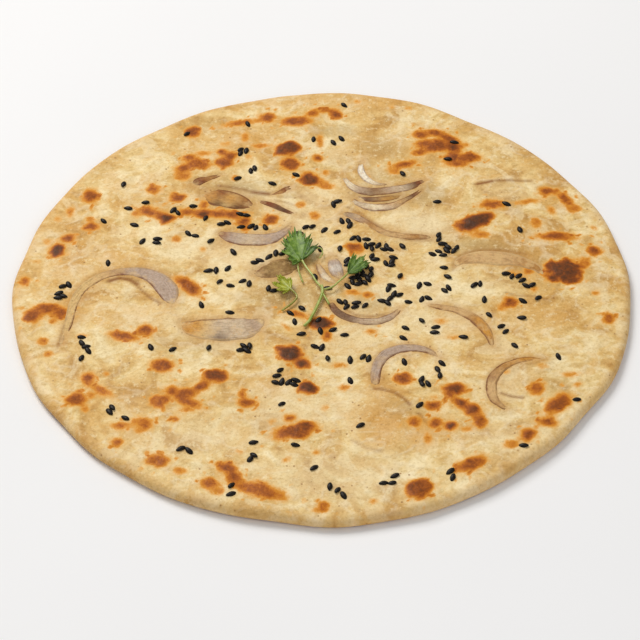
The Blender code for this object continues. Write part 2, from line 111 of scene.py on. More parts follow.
def newMaterial(name, roughness, specular, glow=0.0, glowReach=(0.0, 0.0, 0.0)):  # reach in metres
    material = bpy.data.materials.new(name)
    material.use_nodes = True
    tree = material.node_tree
    shader = tree.nodes["Principled BSDF"]
    shader.inputs["Roughness"].default_value = roughness
    shader.inputs["Specular IOR Level"].default_value = specular
    if glow:
        shader.inputs["Subsurface Weight"].default_value = glow
        shader.inputs["Subsurface Radius"].default_value = glowReach
    return material, tree, shader


def attribute(tree, name):
    node = tree.nodes.new("ShaderNodeAttribute")
    node.attribute_name = name
    return node.outputs["Fac"]


def objectPlace(tree, stretch=(1.0, 1.0, 1.0)):
    place = tree.nodes.new("ShaderNodeTexCoord")
    mapping = tree.nodes.new("ShaderNodeMapping")
    mapping.inputs["Scale"].default_value = stretch
    tree.links.new(place.outputs["Object"], mapping.inputs["Vector"])
    return mapping.outputs["Vector"]


def noiseField(tree, size, detail=3.0, rough=0.55, twist=0.0, stretch=(1.0, 1.0, 1.0), source=None):
    node = tree.nodes.new("ShaderNodeTexNoise")
    sockets = [node.inputs[key] for key in ("Scale", "Detail", "Roughness", "Distortion", "Vector")]
    feed(tree, sockets, (1.0 / (size * mm), detail, rough, twist, source or objectPlace(tree, stretch)))
    return node.outputs["Fac"]


def maths(tree, operation, first, second):
    node = tree.nodes.new("ShaderNodeMath")
    node.operation = operation
    feed(tree, node.inputs, (first, second))
    return node.outputs[0]


def times(tree, first, second):
    return maths(tree, "MULTIPLY", first, second)


def remap(tree, source, low, high, newLow=0.0, newHigh=1.0):
    node = tree.nodes.new("ShaderNodeMapRange")
    node.interpolation_type = "SMOOTHSTEP"
    feed(tree, node.inputs, (source, low, high, newLow, newHigh))
    return node.outputs["Result"]


def ramp(tree, source, stops):
    node = tree.nodes.new("ShaderNodeValToRGB")
    elements = node.color_ramp.elements
    while len(elements) < len(stops):
        elements.new(1)
    for element, (position, colour) in zip(elements, stops):
        element.position = position
        element.color = screenColour(colour)
    tree.links.new(source, node.inputs["Fac"])
    return node.outputs["Color"]


def blend(tree, factor, first, second, kind="MIX"):
    node = tree.nodes.new("ShaderNodeMix")
    node.data_type = "RGBA"
    node.blend_type = kind
    feed(tree, (node.inputs[0], node.inputs[6], node.inputs[7]), (factor, first, second))
    return node.outputs[2]


def shaded(tree, colour, field, stops):  # each stop's multipliers darken or lighten the colour there
    shades = ramp(tree, field, [(position, (*parts, 1)) for position, *parts in stops])
    return blend(tree, 1, colour, shades, "MULTIPLY")


def cover(tree, shader, colour, layers=()):  # the colour, and layers of height field and depth in mm
    tree.links.new(colour, shader.inputs["Base Color"])
    total = None
    for field, depth in layers:
        scaled = times(tree, field, depth * mm)
        total = scaled if total is None else maths(tree, "ADD", total, scaled)
    if total is not None:
        node = tree.nodes.new("ShaderNodeBump")
        feed(tree, [node.inputs[key] for key in ("Distance", "Strength", "Height")], (1, 1, total))
        tree.links.new(node.outputs["Normal"], shader.inputs["Normal"])


# The bread's form, the same as the solid's, in millimetres
bread = {
    "radius": 110,
    "thickness": 5.2,
    "edgeThinning": 0.7,
    "edgeWidth": 3.2,
    "outlineWaves": (
        (2, 0.6, 73), (4, 0.6, 11), (5, 0.25, 7), (7, 0.25, -169), (11, 0.2, 147), (16, 0.25, 20),
        (23, 0.15, 130),
    ),
    "topWaves": ((34, 0.55), (13, 0.28)),
    "blisters": (
        (44, 77, 10, 0.5), (55, 70, 7, 0.4), (57, 35, 9, 0.55), (88, 7, 9, 0.5), (-13, 75, 6, 0.5),
        (-8, 57, 6, 0.4), (-101, -14, 9, 0.5), (-60, 38, 7, 0.4), (-36, 37, 9, 0.4), (-48, 0, 6, 0.4),
        (-12, -34, 7, 0.5), (-1, -21, 6, 0.4), (-5, -50, 5, 0.4), (-39, -45, 7, 0.5), (-47, -52, 7, 0.35),
        (-10, -71, 9, 0.5), (-19, -98, 9, 0.45), (52, -63, 8, 0.5), (81, -57, 7, 0.45), (49, -86, 8, 0.4),
        (32, -98, 8, 0.45), (-10, 91, 8, 0.4), (86, 27, 8, 0.4), (-48, 66, 7, 0.4), (-85, -55, 7, 0.35),
    ),
    "folds": (
        (((30, -60), (24, -55), (18, -60), (13, -70), (16, -78), (24, -79)), 6, 0.5),
        (((57, 54), (66, 57), (78, 57)), 2.6, 0.5),
        (((64, -3), (72, -5), (79, -7)), 2.2, 0.4),
        (((-44, 56), (-32, 54), (-22, 51)), 2, 0.4),
    ),
    "cells": 286,
    "fineRelief": ((7, 0.18), (2.8, 0.1)),  # size and height of the dough's own unevenness
    "wrinkles": {"size": 10, "band": 0.13, "rise": 0.16},  # thin ridges pulled up by rolling
    "fineRim": 0.22,  # height of the small scallops round the rim
    "rimSteps": (  # inset and share of the height, going down the rim
        (2.3, 0.975), (1.5, 0.92), (0.85, 0.83), (0.35, 0.7), (0.05, 0.54), (0, 0.4), (0.3, 0.24),
        (0.9, 0.1), (2, 0),
    ),
    "puff": {"height": 0.2, "away": 0.8, "width": 0.9},  # dough puffed up round each slice
    "crust": {"height": 0.2, "from": 0.3, "size": 2},  # how the marks stand proud
    "markFade": 2.4,  # height below which the rim has no marks
    # the browner ring round each slice is partly browned dough and partly painted shade where slice and
    # dough meet
    "seatReach": 1.4,  # how far the browner dough round a slice reaches
    "rimWidth": 4.5,
}


def wrinkleField(x, y):  # 1 along the thin ridges, broken up so that none runs far
    size, band = bread["wrinkles"]["size"], bread["wrinkles"]["band"]
    lines = np.abs(noiseAt(x, 1.4 * y, size, 83) + 0.25 * noiseAt(x, y, 3, 87))
    broken = np.clip(4.0 * noiseAt(x, y, 12.0, 89.0) + 0.4, 0, 1)
    return np.clip(1 - lines / band, 0, 1) * broken


def lineDistance(x, y, points):  # less the line's half width, where its points carry one
    nearest = np.full(np.shape(x), np.inf)
    for (ax, ay, *ar), (bx, by, *br) in zip(points, points[1:]):
        dx, dy = bx - ax, by - ay
        share = np.clip(((x - ax) * dx + (y - ay) * dy) / (dx * dx + dy * dy + 1e-9), 0.0, 1.0)
        away = np.hypot(x - ax - share * dx, y - ay - share * dy)
        if ar:
            away -= ar[0] + share * (br[0] - ar[0])
        nearest = np.minimum(nearest, away)
    return nearest


def noiseAt(x, y, size, layer):
    return np.array([noise.noise(Vector((a / size, b / size, layer))) for a, b in zip(x, y)])


def topHeight(x, y):  # height of the top in mm, for arrays of places in mm
    x, y = np.atleast_1d(np.asarray(x, float)), np.atleast_1d(np.asarray(y, float))
    height = bread["thickness"] - bread["edgeThinning"] * (np.hypot(x, y) / bread["radius"]) ** 4
    for layer, (length, rise) in enumerate(bread["topWaves"]):
        height += rise * noiseAt(x, y, length, 3.7 + layer)
    for bx, by, radius, rise in bread["blisters"]:
        height += rise * np.exp(-2.5 * (np.hypot(x - bx, y - by) / radius) ** 2)
    for points, halfWidth, rise in bread["folds"]:
        height += rise * np.exp(-1.5 * (lineDistance(x, y, points) / halfWidth) ** 2)
    return height


def rimRadius(angle):
    radius = bread["radius"]
    for turns, rise, phase in bread["outlineWaves"]:
        radius = radius + rise * np.cos(turns * angle - math.radians(phase))
    return radius


def rimScallops(angle):
    reach = bread["radius"]
    return bread["fineRim"] * noiseAt(reach * np.cos(angle), reach * np.sin(angle), 7, 91)


# Onion slices: flatness, the middle line as x, y, half width, the tones along it,
# how brown the left and right edges are, and how far dough covers the slice
onions = {
    "onion_left_crescent": (0.24, (
        (-91.5, -29, 0.9), (-89.4, -18, 1.7), (-88.3, -8, 1.9), (-85, 0, 2.1), (-79.5, 5.2, 2.2),
        (-72.5, 7.6, 2.2), (-66, 7.6, 2.7), (-61, 5.4, 3.6), (-56.9, 1.4, 4.3), (-54.6, -3.8, 3.9),
        (-53.2, -9, 1.7)),
        ("pinkDough", "dough", "dough", "dough", "dough", "pinkDough",
         "coolLilac", "coolLilac", "coolLilac", "coolLilac"), 1, 0.45, 0.5),
    "onion_left_petal": (0.18, (
        (-49.8, -18.5, 1.4), (-45.5, -21, 4.2), (-38.5, -22.2, 5.8), (-31, -22.2, 6.2),
        (-24.8, -20.6, 4.6), (-20.6, -17, 1.5)),
        ("tan", "golden", "dough", "paleLilac", "paleLilac", "paleLilac",
         "lilac", "paleLilac"), 0.35, 0.8, 0.45),
    "onion_middle_crescent": (0.24, (
        (-38, 28.6, 1), (-34, 26.4, 2.9), (-29.5, 25.1, 3.6), (-24.5, 24.8, 3.8), (-19.6, 25.2, 3.4),
        (-15, 28, 2.4), (-11, 33, 0.8)),
        ("tan", "coolLilac", "paleLilac", "coolLilac", "coolLilac", "pinkDough"), 0.9, 0.7, 0.25),
    "onion_centre_petal": (0.2, (
        (-24.6, 6.4, 1.7), (-20.4, 7.2, 3.5), (-15.5, 9.4, 4.6), (-11, 11, 4.2), (-8, 12, 2.4)),
        ("brown", "olive", "oliveLight", "olive", "olive"), 0.6, 0.6, 0.4),
    "onion_brown_sliver": (0.36, (
        (-48.2, 54.9, 1.8), (-45.6, 57, 2.3), (-42, 58.8, 1.5), (-37.4, 60.7, 0.5)),
        ("oliveLight", "brown", "tan", "brown"), 0.9, 1, 0.15),
    "onion_sunk_petal": (0.18, (
        (-44.4, 50.6, 1.9), (-41, 48.8, 4.5), (-35.5, 47, 5.2), (-30, 45.2, 4.2), (-25.4, 43.4, 1.6)),
        ("tan", "golden", "dough", "tan", "brown"), 0.95, 1, 0.15),
    "onion_brown_strip_low": (0.4, (
        (-23.4, 46.1, 0.6), (-20, 44.8, 1.3), (-17.4, 43.2, 1.6), (-14.4, 41.1, 1.3), (-10, 38.7, 0.5)),
        ("brown", "brown", "darkBrown", "brown"), 0.7, 0.7, 0.1),
    "onion_brown_strip_high": (0.4, (
        (-19, 49.7, 0.5), (-16, 50.6, 1.1), (-13.5, 52.2, 1.7), (-11.2, 53.2, 1.5), (-9.8, 52.8, 0.5)),
        ("brown", "tan", "brown", "darkBrown"), 0.8, 0.8, 0.1),
    "onion_wedge_inner": (0.5, (
        (15.6, 68.4, 0.5), (14.8, 65, 1.3), (15.2, 61.2, 1.7), (17.2, 57.8, 1.6), (20.4, 55.6, 1.2),
        (24.6, 55, 0.5)),
        ("pale", "white", "white", "pale", "pinkDough"), 0.7, 0.6, 0.1),
    "onion_wedge_middle": (0.34, (
        (8, 59.4, 0.6), (10.4, 55, 1.7), (14, 52, 2.3), (19.5, 51, 2.4), (25.5, 51.6, 2.3),
        (31.5, 53.4, 2.2), (36, 55.8, 1.6), (38.8, 57.6, 0.7)),
        ("white", "pale", "lilac", "grey", "lilac", "paleLilac", "purple", "brown"), 0.8, 0.9, 0.12),
    "onion_wedge_core": (0.38, (
        (12.6, 48.5, 0.6), (15.4, 47, 1.2), (20, 46.6, 1.5), (25.5, 47.1, 1.5), (30.4, 49, 0.6)),
        ("lilac", "purple", "grey", "oliveLight", "tan"), 0.9, 0.9, 0.2),
    "onion_wedge_outer": (0.38, (
        (10.9, 47.6, 0.6), (12.9, 44.6, 1.6), (17, 42.5, 2), (22, 41.9, 2.2), (26.5, 42.9, 2),
        (30.2, 45.6, 1.5), (34, 48.8, 1.1), (37.4, 52.6, 0.5)),
        ("paleLilac", "paleLilac", "pale", "paleLilac", "pinkDough", "purple", "brown"), 0.9, 1, 0.2),
    "onion_upper_arc": (0.3, (
        (7.5, 38.6, 1), (12, 36.9, 2), (16, 34, 1.7), (20, 30.4, 1.6), (24, 27.9, 1.6),
        (30, 26.4, 1.6), (36, 26.1, 1.4), (40, 26, 0.7)),
        ("grey", "lilac", "tan", "pinkDough", "pinkDough", "tan", "brown"), 0.7, 0.9, 0.5),
    "onion_right_petal": (0.2, (
        (48.2, 11, 1.3), (51.5, 13.6, 2.6), (57.5, 14.8, 3.6), (65, 14.4, 3.8), (72, 12.8, 3),
        (77.5, 9.8, 2), (79.4, 6.2, 0.8)),
        ("tan", "pinkDough", "pinkDough", "pinkDough", "tan", "tan"), 0.45, 0.3, 0.7),
    "onion_curl_outer": (0.4, (
        (-1.7, 12, 0.7), (-0.5, 8.8, 1.4), (0.9, 5.6, 1.6), (3, 2.9, 1.3), (5.2, 1.2, 0.6)),
        ("pinkDough", "paleLilac", "pale", "pinkDough"), 0.8, 0.6, 0.5),
    "onion_curl_core": (0.3, (
        (3.2, 15.6, 1), (4.2, 12.6, 2.4), (4.9, 9.4, 2.9), (5.9, 6.2, 2.5), (7.4, 3.6, 1.1)),
        ("pinkDough", "coolLilac", "coolWhite", "coolLilac", "pinkDough"), 0.6, 0.9, 0.4),
    "onion_low_crescent": (0.5, (
        (3.2, -8, 1), (4.8, -12, 1.6), (8.6, -15.6, 1.8), (14, -17.8, 1.9), (20, -17.6, 1.9),
        (25, -15, 1.7), (27.8, -11.5, 0.8)),
        ("brown", "purple", "purple", "lilac", "paleLilac", "lilac", "pinkDough"), 0.8, 0.9, 0.12),
    "onion_grey_arch": (0.4, (
        (18.5, -49.5, 1.4), (18.6, -44, 2), (19.8, -38.5, 2.2), (22.6, -34, 2.4), (27.5, -31.4, 2.3),
        (33, -31, 1.9), (37.5, -32.6, 1.4), (41, -36, 0.8)),
        ("tan", "coolLilac", "coolLilac", "coolLilac", "coolLilac", "lilac", "pinkDough"), 0.9, 0.5, 0.3),
    "onion_right_arc": (0.4, (
        (37.5, -9.5, 0.8), (43, -11, 1.6), (48.5, -12.6, 1.9), (53, -15.6, 2.2), (56.5, -20, 2.3),
        (58.7, -25, 1.7), (59.6, -30, 0.8)),
        ("tan", "pinkDough", "pinkDough", "tan", "golden", "tan"), 0.9, 0.5, 0.5),
    "onion_hook": (0.42, (
        (78, -37.2, 0.6), (73, -36.6, 1.2), (67, -38, 1.5), (62.4, -41.2, 1.8), (59.4, -45.6, 2.1),
        (58.4, -51, 2.1), (59.4, -56.4, 1.8), (63, -60.6, 0.8)),
        ("tan", "golden", "tan", "pinkDough", "pinkDough", "tan"), 1, 0.6, 0.35),
}


def smoothRoute(points, step):  # a smooth line through the points, every number carried along
    ends = [points[0], *points, points[-1]]
    route = []
    for before, start, stop, after in zip(ends, ends[1:], ends[2:], ends[3:]):
        pieces = max(1, round(math.dist(start[:2], stop[:2]) / step))
        for piece in range(pieces):
            t = piece / pieces
            route.append(tuple(
                0.5 * (2 * b + (c - a) * t + (2 * a - 5 * b + 4 * c - d) * t**2
                       + (3 * b - a - 3 * c + d) * t**3)
                for a, b, c, d in zip(before, start, stop, after)
            ))
    return route + [points[-1]]


coarseStep, fineStep = 8, 1.5
onionLines = [onion[1] for onion in onions.values()]


def onionDistance(x, y):  # how far outside the nearest slice's edge a place is, in mm
    return np.min([lineDistance(x, y, smoothRoute(line, fineStep)) for line in onionLines], axis=0)


# Scorch marks: each tone's strength, then x, y, width, depth and, where a mark is askew, its turn
scorch = {
    "dark": (0.98, (
        (-38, 73.5, 2, 2), (56, 34, 14, 7, 30), (-96.5, 19.5, 5.5, 6), (-57.5, 36.5, 5.5, 5),
        (-44, 39, 5.5, 3.5), (-0.5, -19.3, 8, 6), (-11.5, -34, 8, 7), (-7, -39, 5, 4, -20),
        (-5, -50.5, 6, 5.5), (-5.5, -68.8, 5, 3, 15), (43.5, -68.5, 3.5, 3.5),
    )),
    "deep": (0.84, (
        (-13, 75.5, 8.5, 7.5), (-5, 58, 7, 7), (50, 76, 6, 5), (87, 8, 13, 12), (-37, -45, 7.5, 5.5),
        (45.5, -51, 7, 4.5), (47.5, -58, 6, 3.5, -20), (51.5, -61.5, 4.5, 5),
    )),
    "brown": (0.7, (
        (-49.5, 85.5, 5, 6), (-21, 94, 5, 5), (-10, 91.5, 10, 4.5), (-3.5, 96.5, 5, 3.5, 40),
        (1.5, 98.5, 4, 2.5), (5.2, 96, 4.5, 5), (-37, 67, 6, 5), (-35, 71.5, 5, 5), (-52, 64, 6, 3.5, 20),
        (-1.5, 70, 3.5, 3.5), (-12, 66.5, 7, 6, -35), (37.5, 83.5, 5, 4), (43, 84.5, 8, 3.5, -8),
        (48, 81.5, 7, 4.5, -40), (39, 78.5, 6, 3, 10), (44, 77, 12, 5.5, 10), (37, 73.5, 5, 3, 10),
        (49, 70.5, 6, 6), (55, 70, 8, 5), (50.5, 66.5, 6, 3), (31, 66.5, 8, 3, 20), (63, 44, 8, 4),
        (84, 51.5, 6, 4), (90.5, 47, 3.5, 8, 25), (85.5, 26.5, 12, 4), (99, 19, 4.5, 5), (-86.2, 49, 5, 7),
        (-54, 48, 5, 5), (-85, 32, 5, 4), (-93, 26, 4, 4), (-107, 3.7, 3, 3.5), (-63.5, 40, 8, 4, -25),
        (-50, 40, 5, 3), (-38, 38.5, 6, 4), (-33, 38, 5, 4.5), (-29, 34.8, 4, 6, -45), (-19, 36, 5.5, 5),
        (-48, 0, 11, 5, -50), (12, 20, 5.5, 5), (-102.5, -15, 6, 6), (-98, -11.8, 8, 5),
        (-92.5, -13.8, 5, 4.5), (-70, -25.3, 9, 4, -12), (-62.5, -22.3, 5, 4.5), (-81, -46, 4, 5),
        (-85, -55.5, 6, 5), (-50.3, -65.5, 2, 2), (-55.5, -39.5, 7.5, 5), (-42, -50, 6, 4, 40),
        (-47, -53.5, 6, 4), (-52, -52, 4, 4), (-46.5, -57, 9, 3, -30), (-25.8, -57.7, 4.5, 4),
        (1.5, -25.5, 3, 4), (-11, -64.5, 3, 3), (-9.5, -71.5, 13, 6.5, 15), (-32, -87.5, 6, 4, -35),
        (-29.5, -91.5, 6, 4, -50), (-17.5, -99, 7, 3, -22), (28, -46, 6, 5), (44, -54, 3, 3),
        (37.7, -59.2, 5, 4), (53.5, -66.5, 4.5, 5), (38.3, -67, 4, 4), (49.5, -86, 10.5, 5, 30),
        (32, -97, 9, 8, 35), (67, -8.2, 5, 5), (81, -58, 11, 6, 50), (76.5, -66.3, 5.5, 4),
        (69.7, -72.5, 5, 5),
    )),
    "rusty": (0.57, (
        (-31, 91, 12, 3, 12), (-23.5, 77.3, 5, 2.5), (-46.5, 66.5, 8, 6), (-50, 70, 5, 4),
        (74.5, 8, 3, 2.5), (-62.8, 52.3, 5, 4.5), (-44, 44, 3, 4), (-27.8, 31, 3, 4),
        (-76, -51.5, 7, 3, -35), (-68.5, -68, 5, 3), (-60, -67.5, 6, 5), (-69.5, -75.8, 4, 4),
        (-55, -84, 7, 5), (-56, -57, 6, 6), (-27.5, -53.5, 2.5, 4), (16.5, -4.5, 3.4, 2.8),
        (17.3, -23, 3, 2), (-9, -14, 7, 3, -25), (-37.7, -94.5, 6, 5), (-21.5, -97.5, 16, 6, -22),
        (0.7, -104.5, 4, 4), (31.5, -66.5, 4.5, 4), (101.5, -15.3, 4, 5), (74, -50.5, 5.5, 6),
    )),
    "amber": (0.42, (
        (-29.5, 82.5, 3, 5), (-44.5, 73, 5, 3), (-0.8, 80, 3, 7), (1, 55, 7, 4, -20), (-32.5, 58.8, 3, 3),
        (-52, 60, 6, 5), (55, 78, 2, 2), (27, 62.5, 4, 3), (1.3, 61.8, 2.5, 2.5), (58, 27, 7, 3.5),
        (76, 45.5, 9, 2.5, 15), (93.5, 42, 5, 4), (84.7, 40.8, 2.5, 4), (78.5, 34, 4, 5), (95, 13, 5, 5),
        (-93, 40, 3, 5), (-85.5, 36, 3, 3), (-68.5, 38.8, 3, 3), (-53.3, 25, 3, 3.5), (-8, 43.7, 3, 3),
        (-2.5, 38, 3.5, 4), (-95, -18, 3, 3), (-98, -27.5, 4, 3.5), (-95.5, -33.5, 3, 3),
        (-74.7, -43.8, 2, 2), (-79.5, -54, 3, 3), (-81, -59.7, 3, 3), (-64, -66, 2.5, 2.5),
        (-62, -70.5, 3, 2), (-46, -61, 5, 2.5), (11, -3.2, 5, 3), (6, -39.8, 5, 2.5), (7.5, -50.3, 4, 3),
        (-12.5, -21, 1.5, 4, 45), (-2.3, -80.5, 2, 2), (-34.5, -98, 4, 3), (-47.7, -88.7, 4, 3),
        (-1.5, -106, 3, 2.5), (49, -70, 3, 2), (35.5, -74, 3, 4), (76, -1, 2.5, 2.5), (64, -11, 3, 3),
        (98, -2.7, 2.5, 2.5), (86, -43.5, 5, 2), (88.5, -48.5, 2, 2), (63.8, -77, 5.5, 4),
    )),
    "faint": (0.26, (
        (-36.5, 78.5, 4, 3), (-27.5, 71, 3, 3), (27, 100.5, 2.5, 2.5), (33.5, 99.7, 3, 3),
        (13.8, 103.5, 3, 3), (99.8, 32, 3, 3), (70.5, 6, 8, 3.5, -25), (-97.6, 36.5, 3, 3),
        (-100.5, 24, 3, 3), (-104, 13.8, 4, 2.5), (-43.2, 19.8, 3, 3), (29, 4.8, 3, 3), (-84.5, -25, 4, 3),
        (-17.3, -66.5, 3, 3), (-12, -84, 3, 3), (-28, -80.5, 3, 3), (1, -60, 3, 3), (38.3, -55, 3, 2),
        (46.5, -26, 6, 3), (42, -18, 5, 3), (17, -102, 3, 3), (76.3, -40.2, 4, 3), (63.5, -42.5, 3, 3),
    )),
}
markEdge = {
    "grow": 1.1, "joining": 0.7, "start": 0.75, "depth": 2.1, "coreDepth": 3, "halo": 0.22,
    "haloReach": 1.5, "unevenness": 0.42, "speckles": 0.5, "speckleReach": 3, "window": 14,
}

# Thin creases where a slice lies under the dough, their brown partly browned dough and partly painted
# shade: points, half width, depth, how brown
creases = (
    (((57, 55), (62, 56.5), (70, 57), (78, 57)), 0.8, 0.22, 0.6),
    (((58, 55), (63.5, 56.4)), 0.9, 0.2, 0.95),
    (((66, -3.5), (70, -5), (76, -5), (80, -6.5)), 0.6, 0.2, 0.45),
    (((-40, -31), (-33, -36)), 0.7, 0.2, 0.15),
    (((-39, 54.5), (-34, 53.5), (-29, 52.2), (-25, 50.9)), 0.7, 0.2, 0.55),
    (((-26, 50.8), (-20, 49.8)), 0.9, 0.25, 0.9),
    (((-17, 46.2), (-13, 45), (-9, 43)), 0.7, 0.2, 0.4),
    (((-16, 48.2), (-8, 47.8)), 0.7, 0.2, 0.3),
    (((18, -51), (21, -51.6), (25, -53.2), (28, -56), (30, -59)), 0.7, 0.3, 0.75),
    (((33, -63), (34.5, -65.5), (37, -68.5)), 0.7, 0.3, 0.8),
    (((10, -75), (15, -78.8), (20, -80.2)), 0.7, 0.2, 0.35),
    (((8, -12), (12, -14.8), (17, -15.6), (22, -14.4)), 0.6, 0.2, 0.5),
    (((-3, 12), (-2, 8), (-0.8, 4), (-0.2, 1)), 0.5, 0.2, 0.4),
    (((61.5, -53), (65, -54.5), (69, -55)), 0.6, 0.15, 0.8),
    (((-76.5, 2.8), (-72.5, 4.4), (-69, 3.6), (-66.5, 1.6)), 0.9, 0.25, 0.9),
    (((-67.5, 2.2), (-64.5, -1.6), (-61.5, -5.6), (-57.5, -8.8)), 0.6, 0.25, 0.65),
    (((-92.6, -30.5), (-91.5, -24), (-89.8, -14), (-86.6, -3), (-82, 5.4)), 0.45, 0.15, 0.5),
    (((47.3, 8.5), (48.6, 14.2), (52, 17.2), (58, 18.8), (66, 18.6), (74, 16.6)), 0.8, 0.15, 0.35),
    (((40, 24.3), (34, 24), (29, 24.4)), 0.7, 0.2, 0.35),
    (((9.5, 42), (14, 38.6), (18.4, 33.8), (22, 30.2)), 0.6, 0.2, 0.55),
)

# Broad tints of the dough: x, y, radius across, radius along, strength
tints = {
    "golden": (
        (22, -65, 12, 14, 0.9), (22, 78, 14, 9, 0.6), (75, -15, 16, 10, 0.5), (70, 20, 14, 7, 0.5),
        (-70, -15, 14, 9, 0.4), (-75, 12, 18, 10, 0.4), (-18, -48, 9, 7, 0.6), (15, 72, 14, 7, 0.5),
        (0, 104, 70, 6, 0.6), (-60, -60, 20, 14, 0.2), (50, -20, 12, 8, 0.35), (-32, 80, 24, 12, 0.5),
        (-92, 18, 14, 24, 0.5), (-60, 48, 20, 12, 0.3), (30, 78, 22, 12, 0.3),
        (34, -70, 11, 9, 0.8), (-90, -12, 12, 9, 0.5), (36, 58, 9, 6, 0.5),
    ),
    "olive": (
        (-12, -5, 16, 9, 0.6), (6, 86, 10, 4, 0.5), (-34, 45, 9, 6, 0.7), (-17, 10, 9, 7, 0.8),
        (15, -8, 10, 7, 0.5), (-60, 6, 10, 6, 0.3), (26, 60, 10, 6, 0.4), (28, -60, 9, 5, 0.4),
        (-48, -30, 12, 8, 0.3), (80, -50, 8, 8, 0.3), (4, 4, 12, 10, 0.4), (22, 76, 9, 8, 0.6),
        (8, 68, 8, 6, 0.3), (-46, 90, 10, 5, 0.3), (62, 42, 10, 5, 0.2), (-84, 66, 8, 8, 0.2),
        (23, 49, 14, 6, 0.95), (60, 20, 15, 6, 0.8), (80, 12, 8, 5, 0.4), (-32, 52, 14, 6, 0.75),
        (38, 50, 9, 7, 0.75),
    ),
    "pale": (
        (36, 33, 12, 9, 0.9), (-5, 38, 14, 8, 0.5), (8, -27, 10, 6, 0.5), (65, -45, 9, 9, 0.4),
        (48, -18, 9, 6, 0.4), (-35, -20, 16, 8, 0.4), (-45, 20, 14, 8, 0.5), (0, 48, 12, 7, 0.5),
        (60, -2, 10, 6, 0.3), (-10, -60, 22, 12, 0.6), (5, -92, 34, 12, 0.5), (64, -74, 18, 10, 0.4),
        (-30, 18, 16, 8, 0.5), (-40, -74, 20, 10, 0.4), (70, 52, 12, 8, 0.3), (30, -2, 10, 6, 0.3),
    ),
}


joinDistance = 2e-6  # points closer than this are the same one


def moveTo(verts, x, y, z):  # places in millimetres
    for vert, px, py, pz in zip(verts, x, y, z):
        vert.co = (px * mm, py * mm, pz * mm)


def flatGrid(bm, columns, rows):  # new points and their places, from -1 to 1
    made = bmesh.ops.create_grid(bm, x_segments=columns, y_segments=rows, size=1)
    return made["verts"], np.array([v.co[:2] for v in made["verts"]]).T


def tubeGrid(bm, points, step, sides):  # each new point's place along a line, its turn round it, the line
    route = np.array(smoothRoute(points, step))
    last = len(route) - 1
    verts, (along, around) = flatGrid(bm, last, sides)
    index = np.clip(np.rint((along + 1) / 2 * last).astype(int), 0, last)
    steps = np.gradient(route[:, :2], axis=0)
    lengths = np.linalg.norm(steps, axis=1) + 1e-9
    return verts, index, (around + 1) * math.pi, route, steps / lengths[:, None], lengths


def setField(mesh, name, values):
    field = mesh.attributes.new(name, "FLOAT", "POINT")
    field.data.foreach_set("value", np.asarray(values, dtype=np.float32))


def makeObject(name, bm, smooth=True):
    if smooth:
        bmesh.ops.recalc_face_normals(bm, faces=bm.faces)
    mesh = bpy.data.meshes.new(name)
    bm.to_mesh(mesh)
    bm.free()
    made = bpy.data.objects.new(name, mesh)
    scene.collection.objects.link(made)
    if smooth:
        mesh.shade_smooth()
    return made


def scorchField(x, y):  # the marks run into one another where they are close
    bendX = noiseAt(x, y, 4.6, 21) + 0.45 * noiseAt(x, y, 2, 27)
    bendY = noiseAt(x, y, 4.6, 33) + 0.45 * noiseAt(x, y, 2, 39)
    speckle = np.clip(5.0 * noiseAt(x, y, 2.4, 41.0) - 1.4, 0, 1)
    joined, weighed = np.full(len(x), 1e-12), np.zeros(len(x))
    for strength, marks in scorch.values():
        for mx, my, width, depth, *askew in marks:
            near = (np.abs(x - mx) < markEdge["window"]) & (np.abs(y - my) < markEdge["window"])
            width, depth = width * markEdge["grow"], depth * markEdge["grow"]
            half = min(width, depth) / 2
            dx = x[near] - mx + bendX[near] * markEdge["unevenness"] * half
            dy = y[near] - my + bendY[near] * markEdge["unevenness"] * half
            turn = math.radians(sum(askew))
            cos, sin = math.cos(turn), math.sin(turn)
            along, across = dx * cos + dy * sin, dy * cos - dx * sin
            out = (np.hypot(along / (width / 2), across / (depth / 2)) - 1) * half
            share = np.exp(-np.clip(out, -6, 20) / markEdge["joining"])
            joined[near] += share
            weighed[near] += share * strength
    strength = weighed / joined
    out = -markEdge["joining"] * np.log(joined)
    inward = np.clip((markEdge["start"] - out) / markEdge["depth"], 0, 1)
    core = np.clip(-out / markEdge["coreDepth"], 0, 1)
    body = strength * (0.8 * inward**0.7 + 0.2 * core)
    outside = np.clip(out, 0, None)
    halo = markEdge["halo"] * np.exp(-outside / markEdge["haloReach"]) * np.clip(1.5 * strength, 0, 1)
    spots = speckle * markEdge["speckles"] * np.exp(-outside / markEdge["speckleReach"])
    spots *= np.clip(5 * strength - 2, 0, 1)
    return np.maximum(body, np.maximum(halo, spots))


# the brown of the creases is partly browned dough and partly painted shade in the crease
def creaseField(x, y):  # how brown and how deep the creases are at each place
    tone, depth = np.zeros(len(x)), np.zeros(len(x))
    for points, halfWidth, fall, brownness in creases:
        taper = np.exp(-((lineDistance(x, y, points) / halfWidth) ** 2))
        tone = np.maximum(tone, brownness * taper)
        depth = np.maximum(depth, fall * taper)
    return tone, depth


def tintField(x, y, spots):
    field = np.zeros(len(x))
    wobble = noiseAt(x, y, 9, 51)
    for sx, sy, across, along, strength in spots:
        out = np.hypot((x - sx) / across, (y - sy) / along) + 0.35 * wobble
        field = np.maximum(field, strength * np.clip(1.35 - out, 0, 1))
    return np.clip(field, 0, 1)


def openRim(bm):
    return [edge for edge in bm.edges if edge.is_boundary]


def rollRim(bm, inset, share):
    made = bmesh.ops.extrude_edge_only(bm, edges=openRim(bm))
    verts = [v for v in made["geom"] if isinstance(v, bmesh.types.BMVert)]
    angles = np.array([math.atan2(v.co.y, v.co.x) for v in verts])
    radius = rimRadius(angles) - inset
    inner = radius - bread["edgeWidth"]
    heights = topHeight(inner * np.cos(angles), inner * np.sin(angles)) * share
    moveTo(verts, radius * np.cos(angles), radius * np.sin(angles), heights)


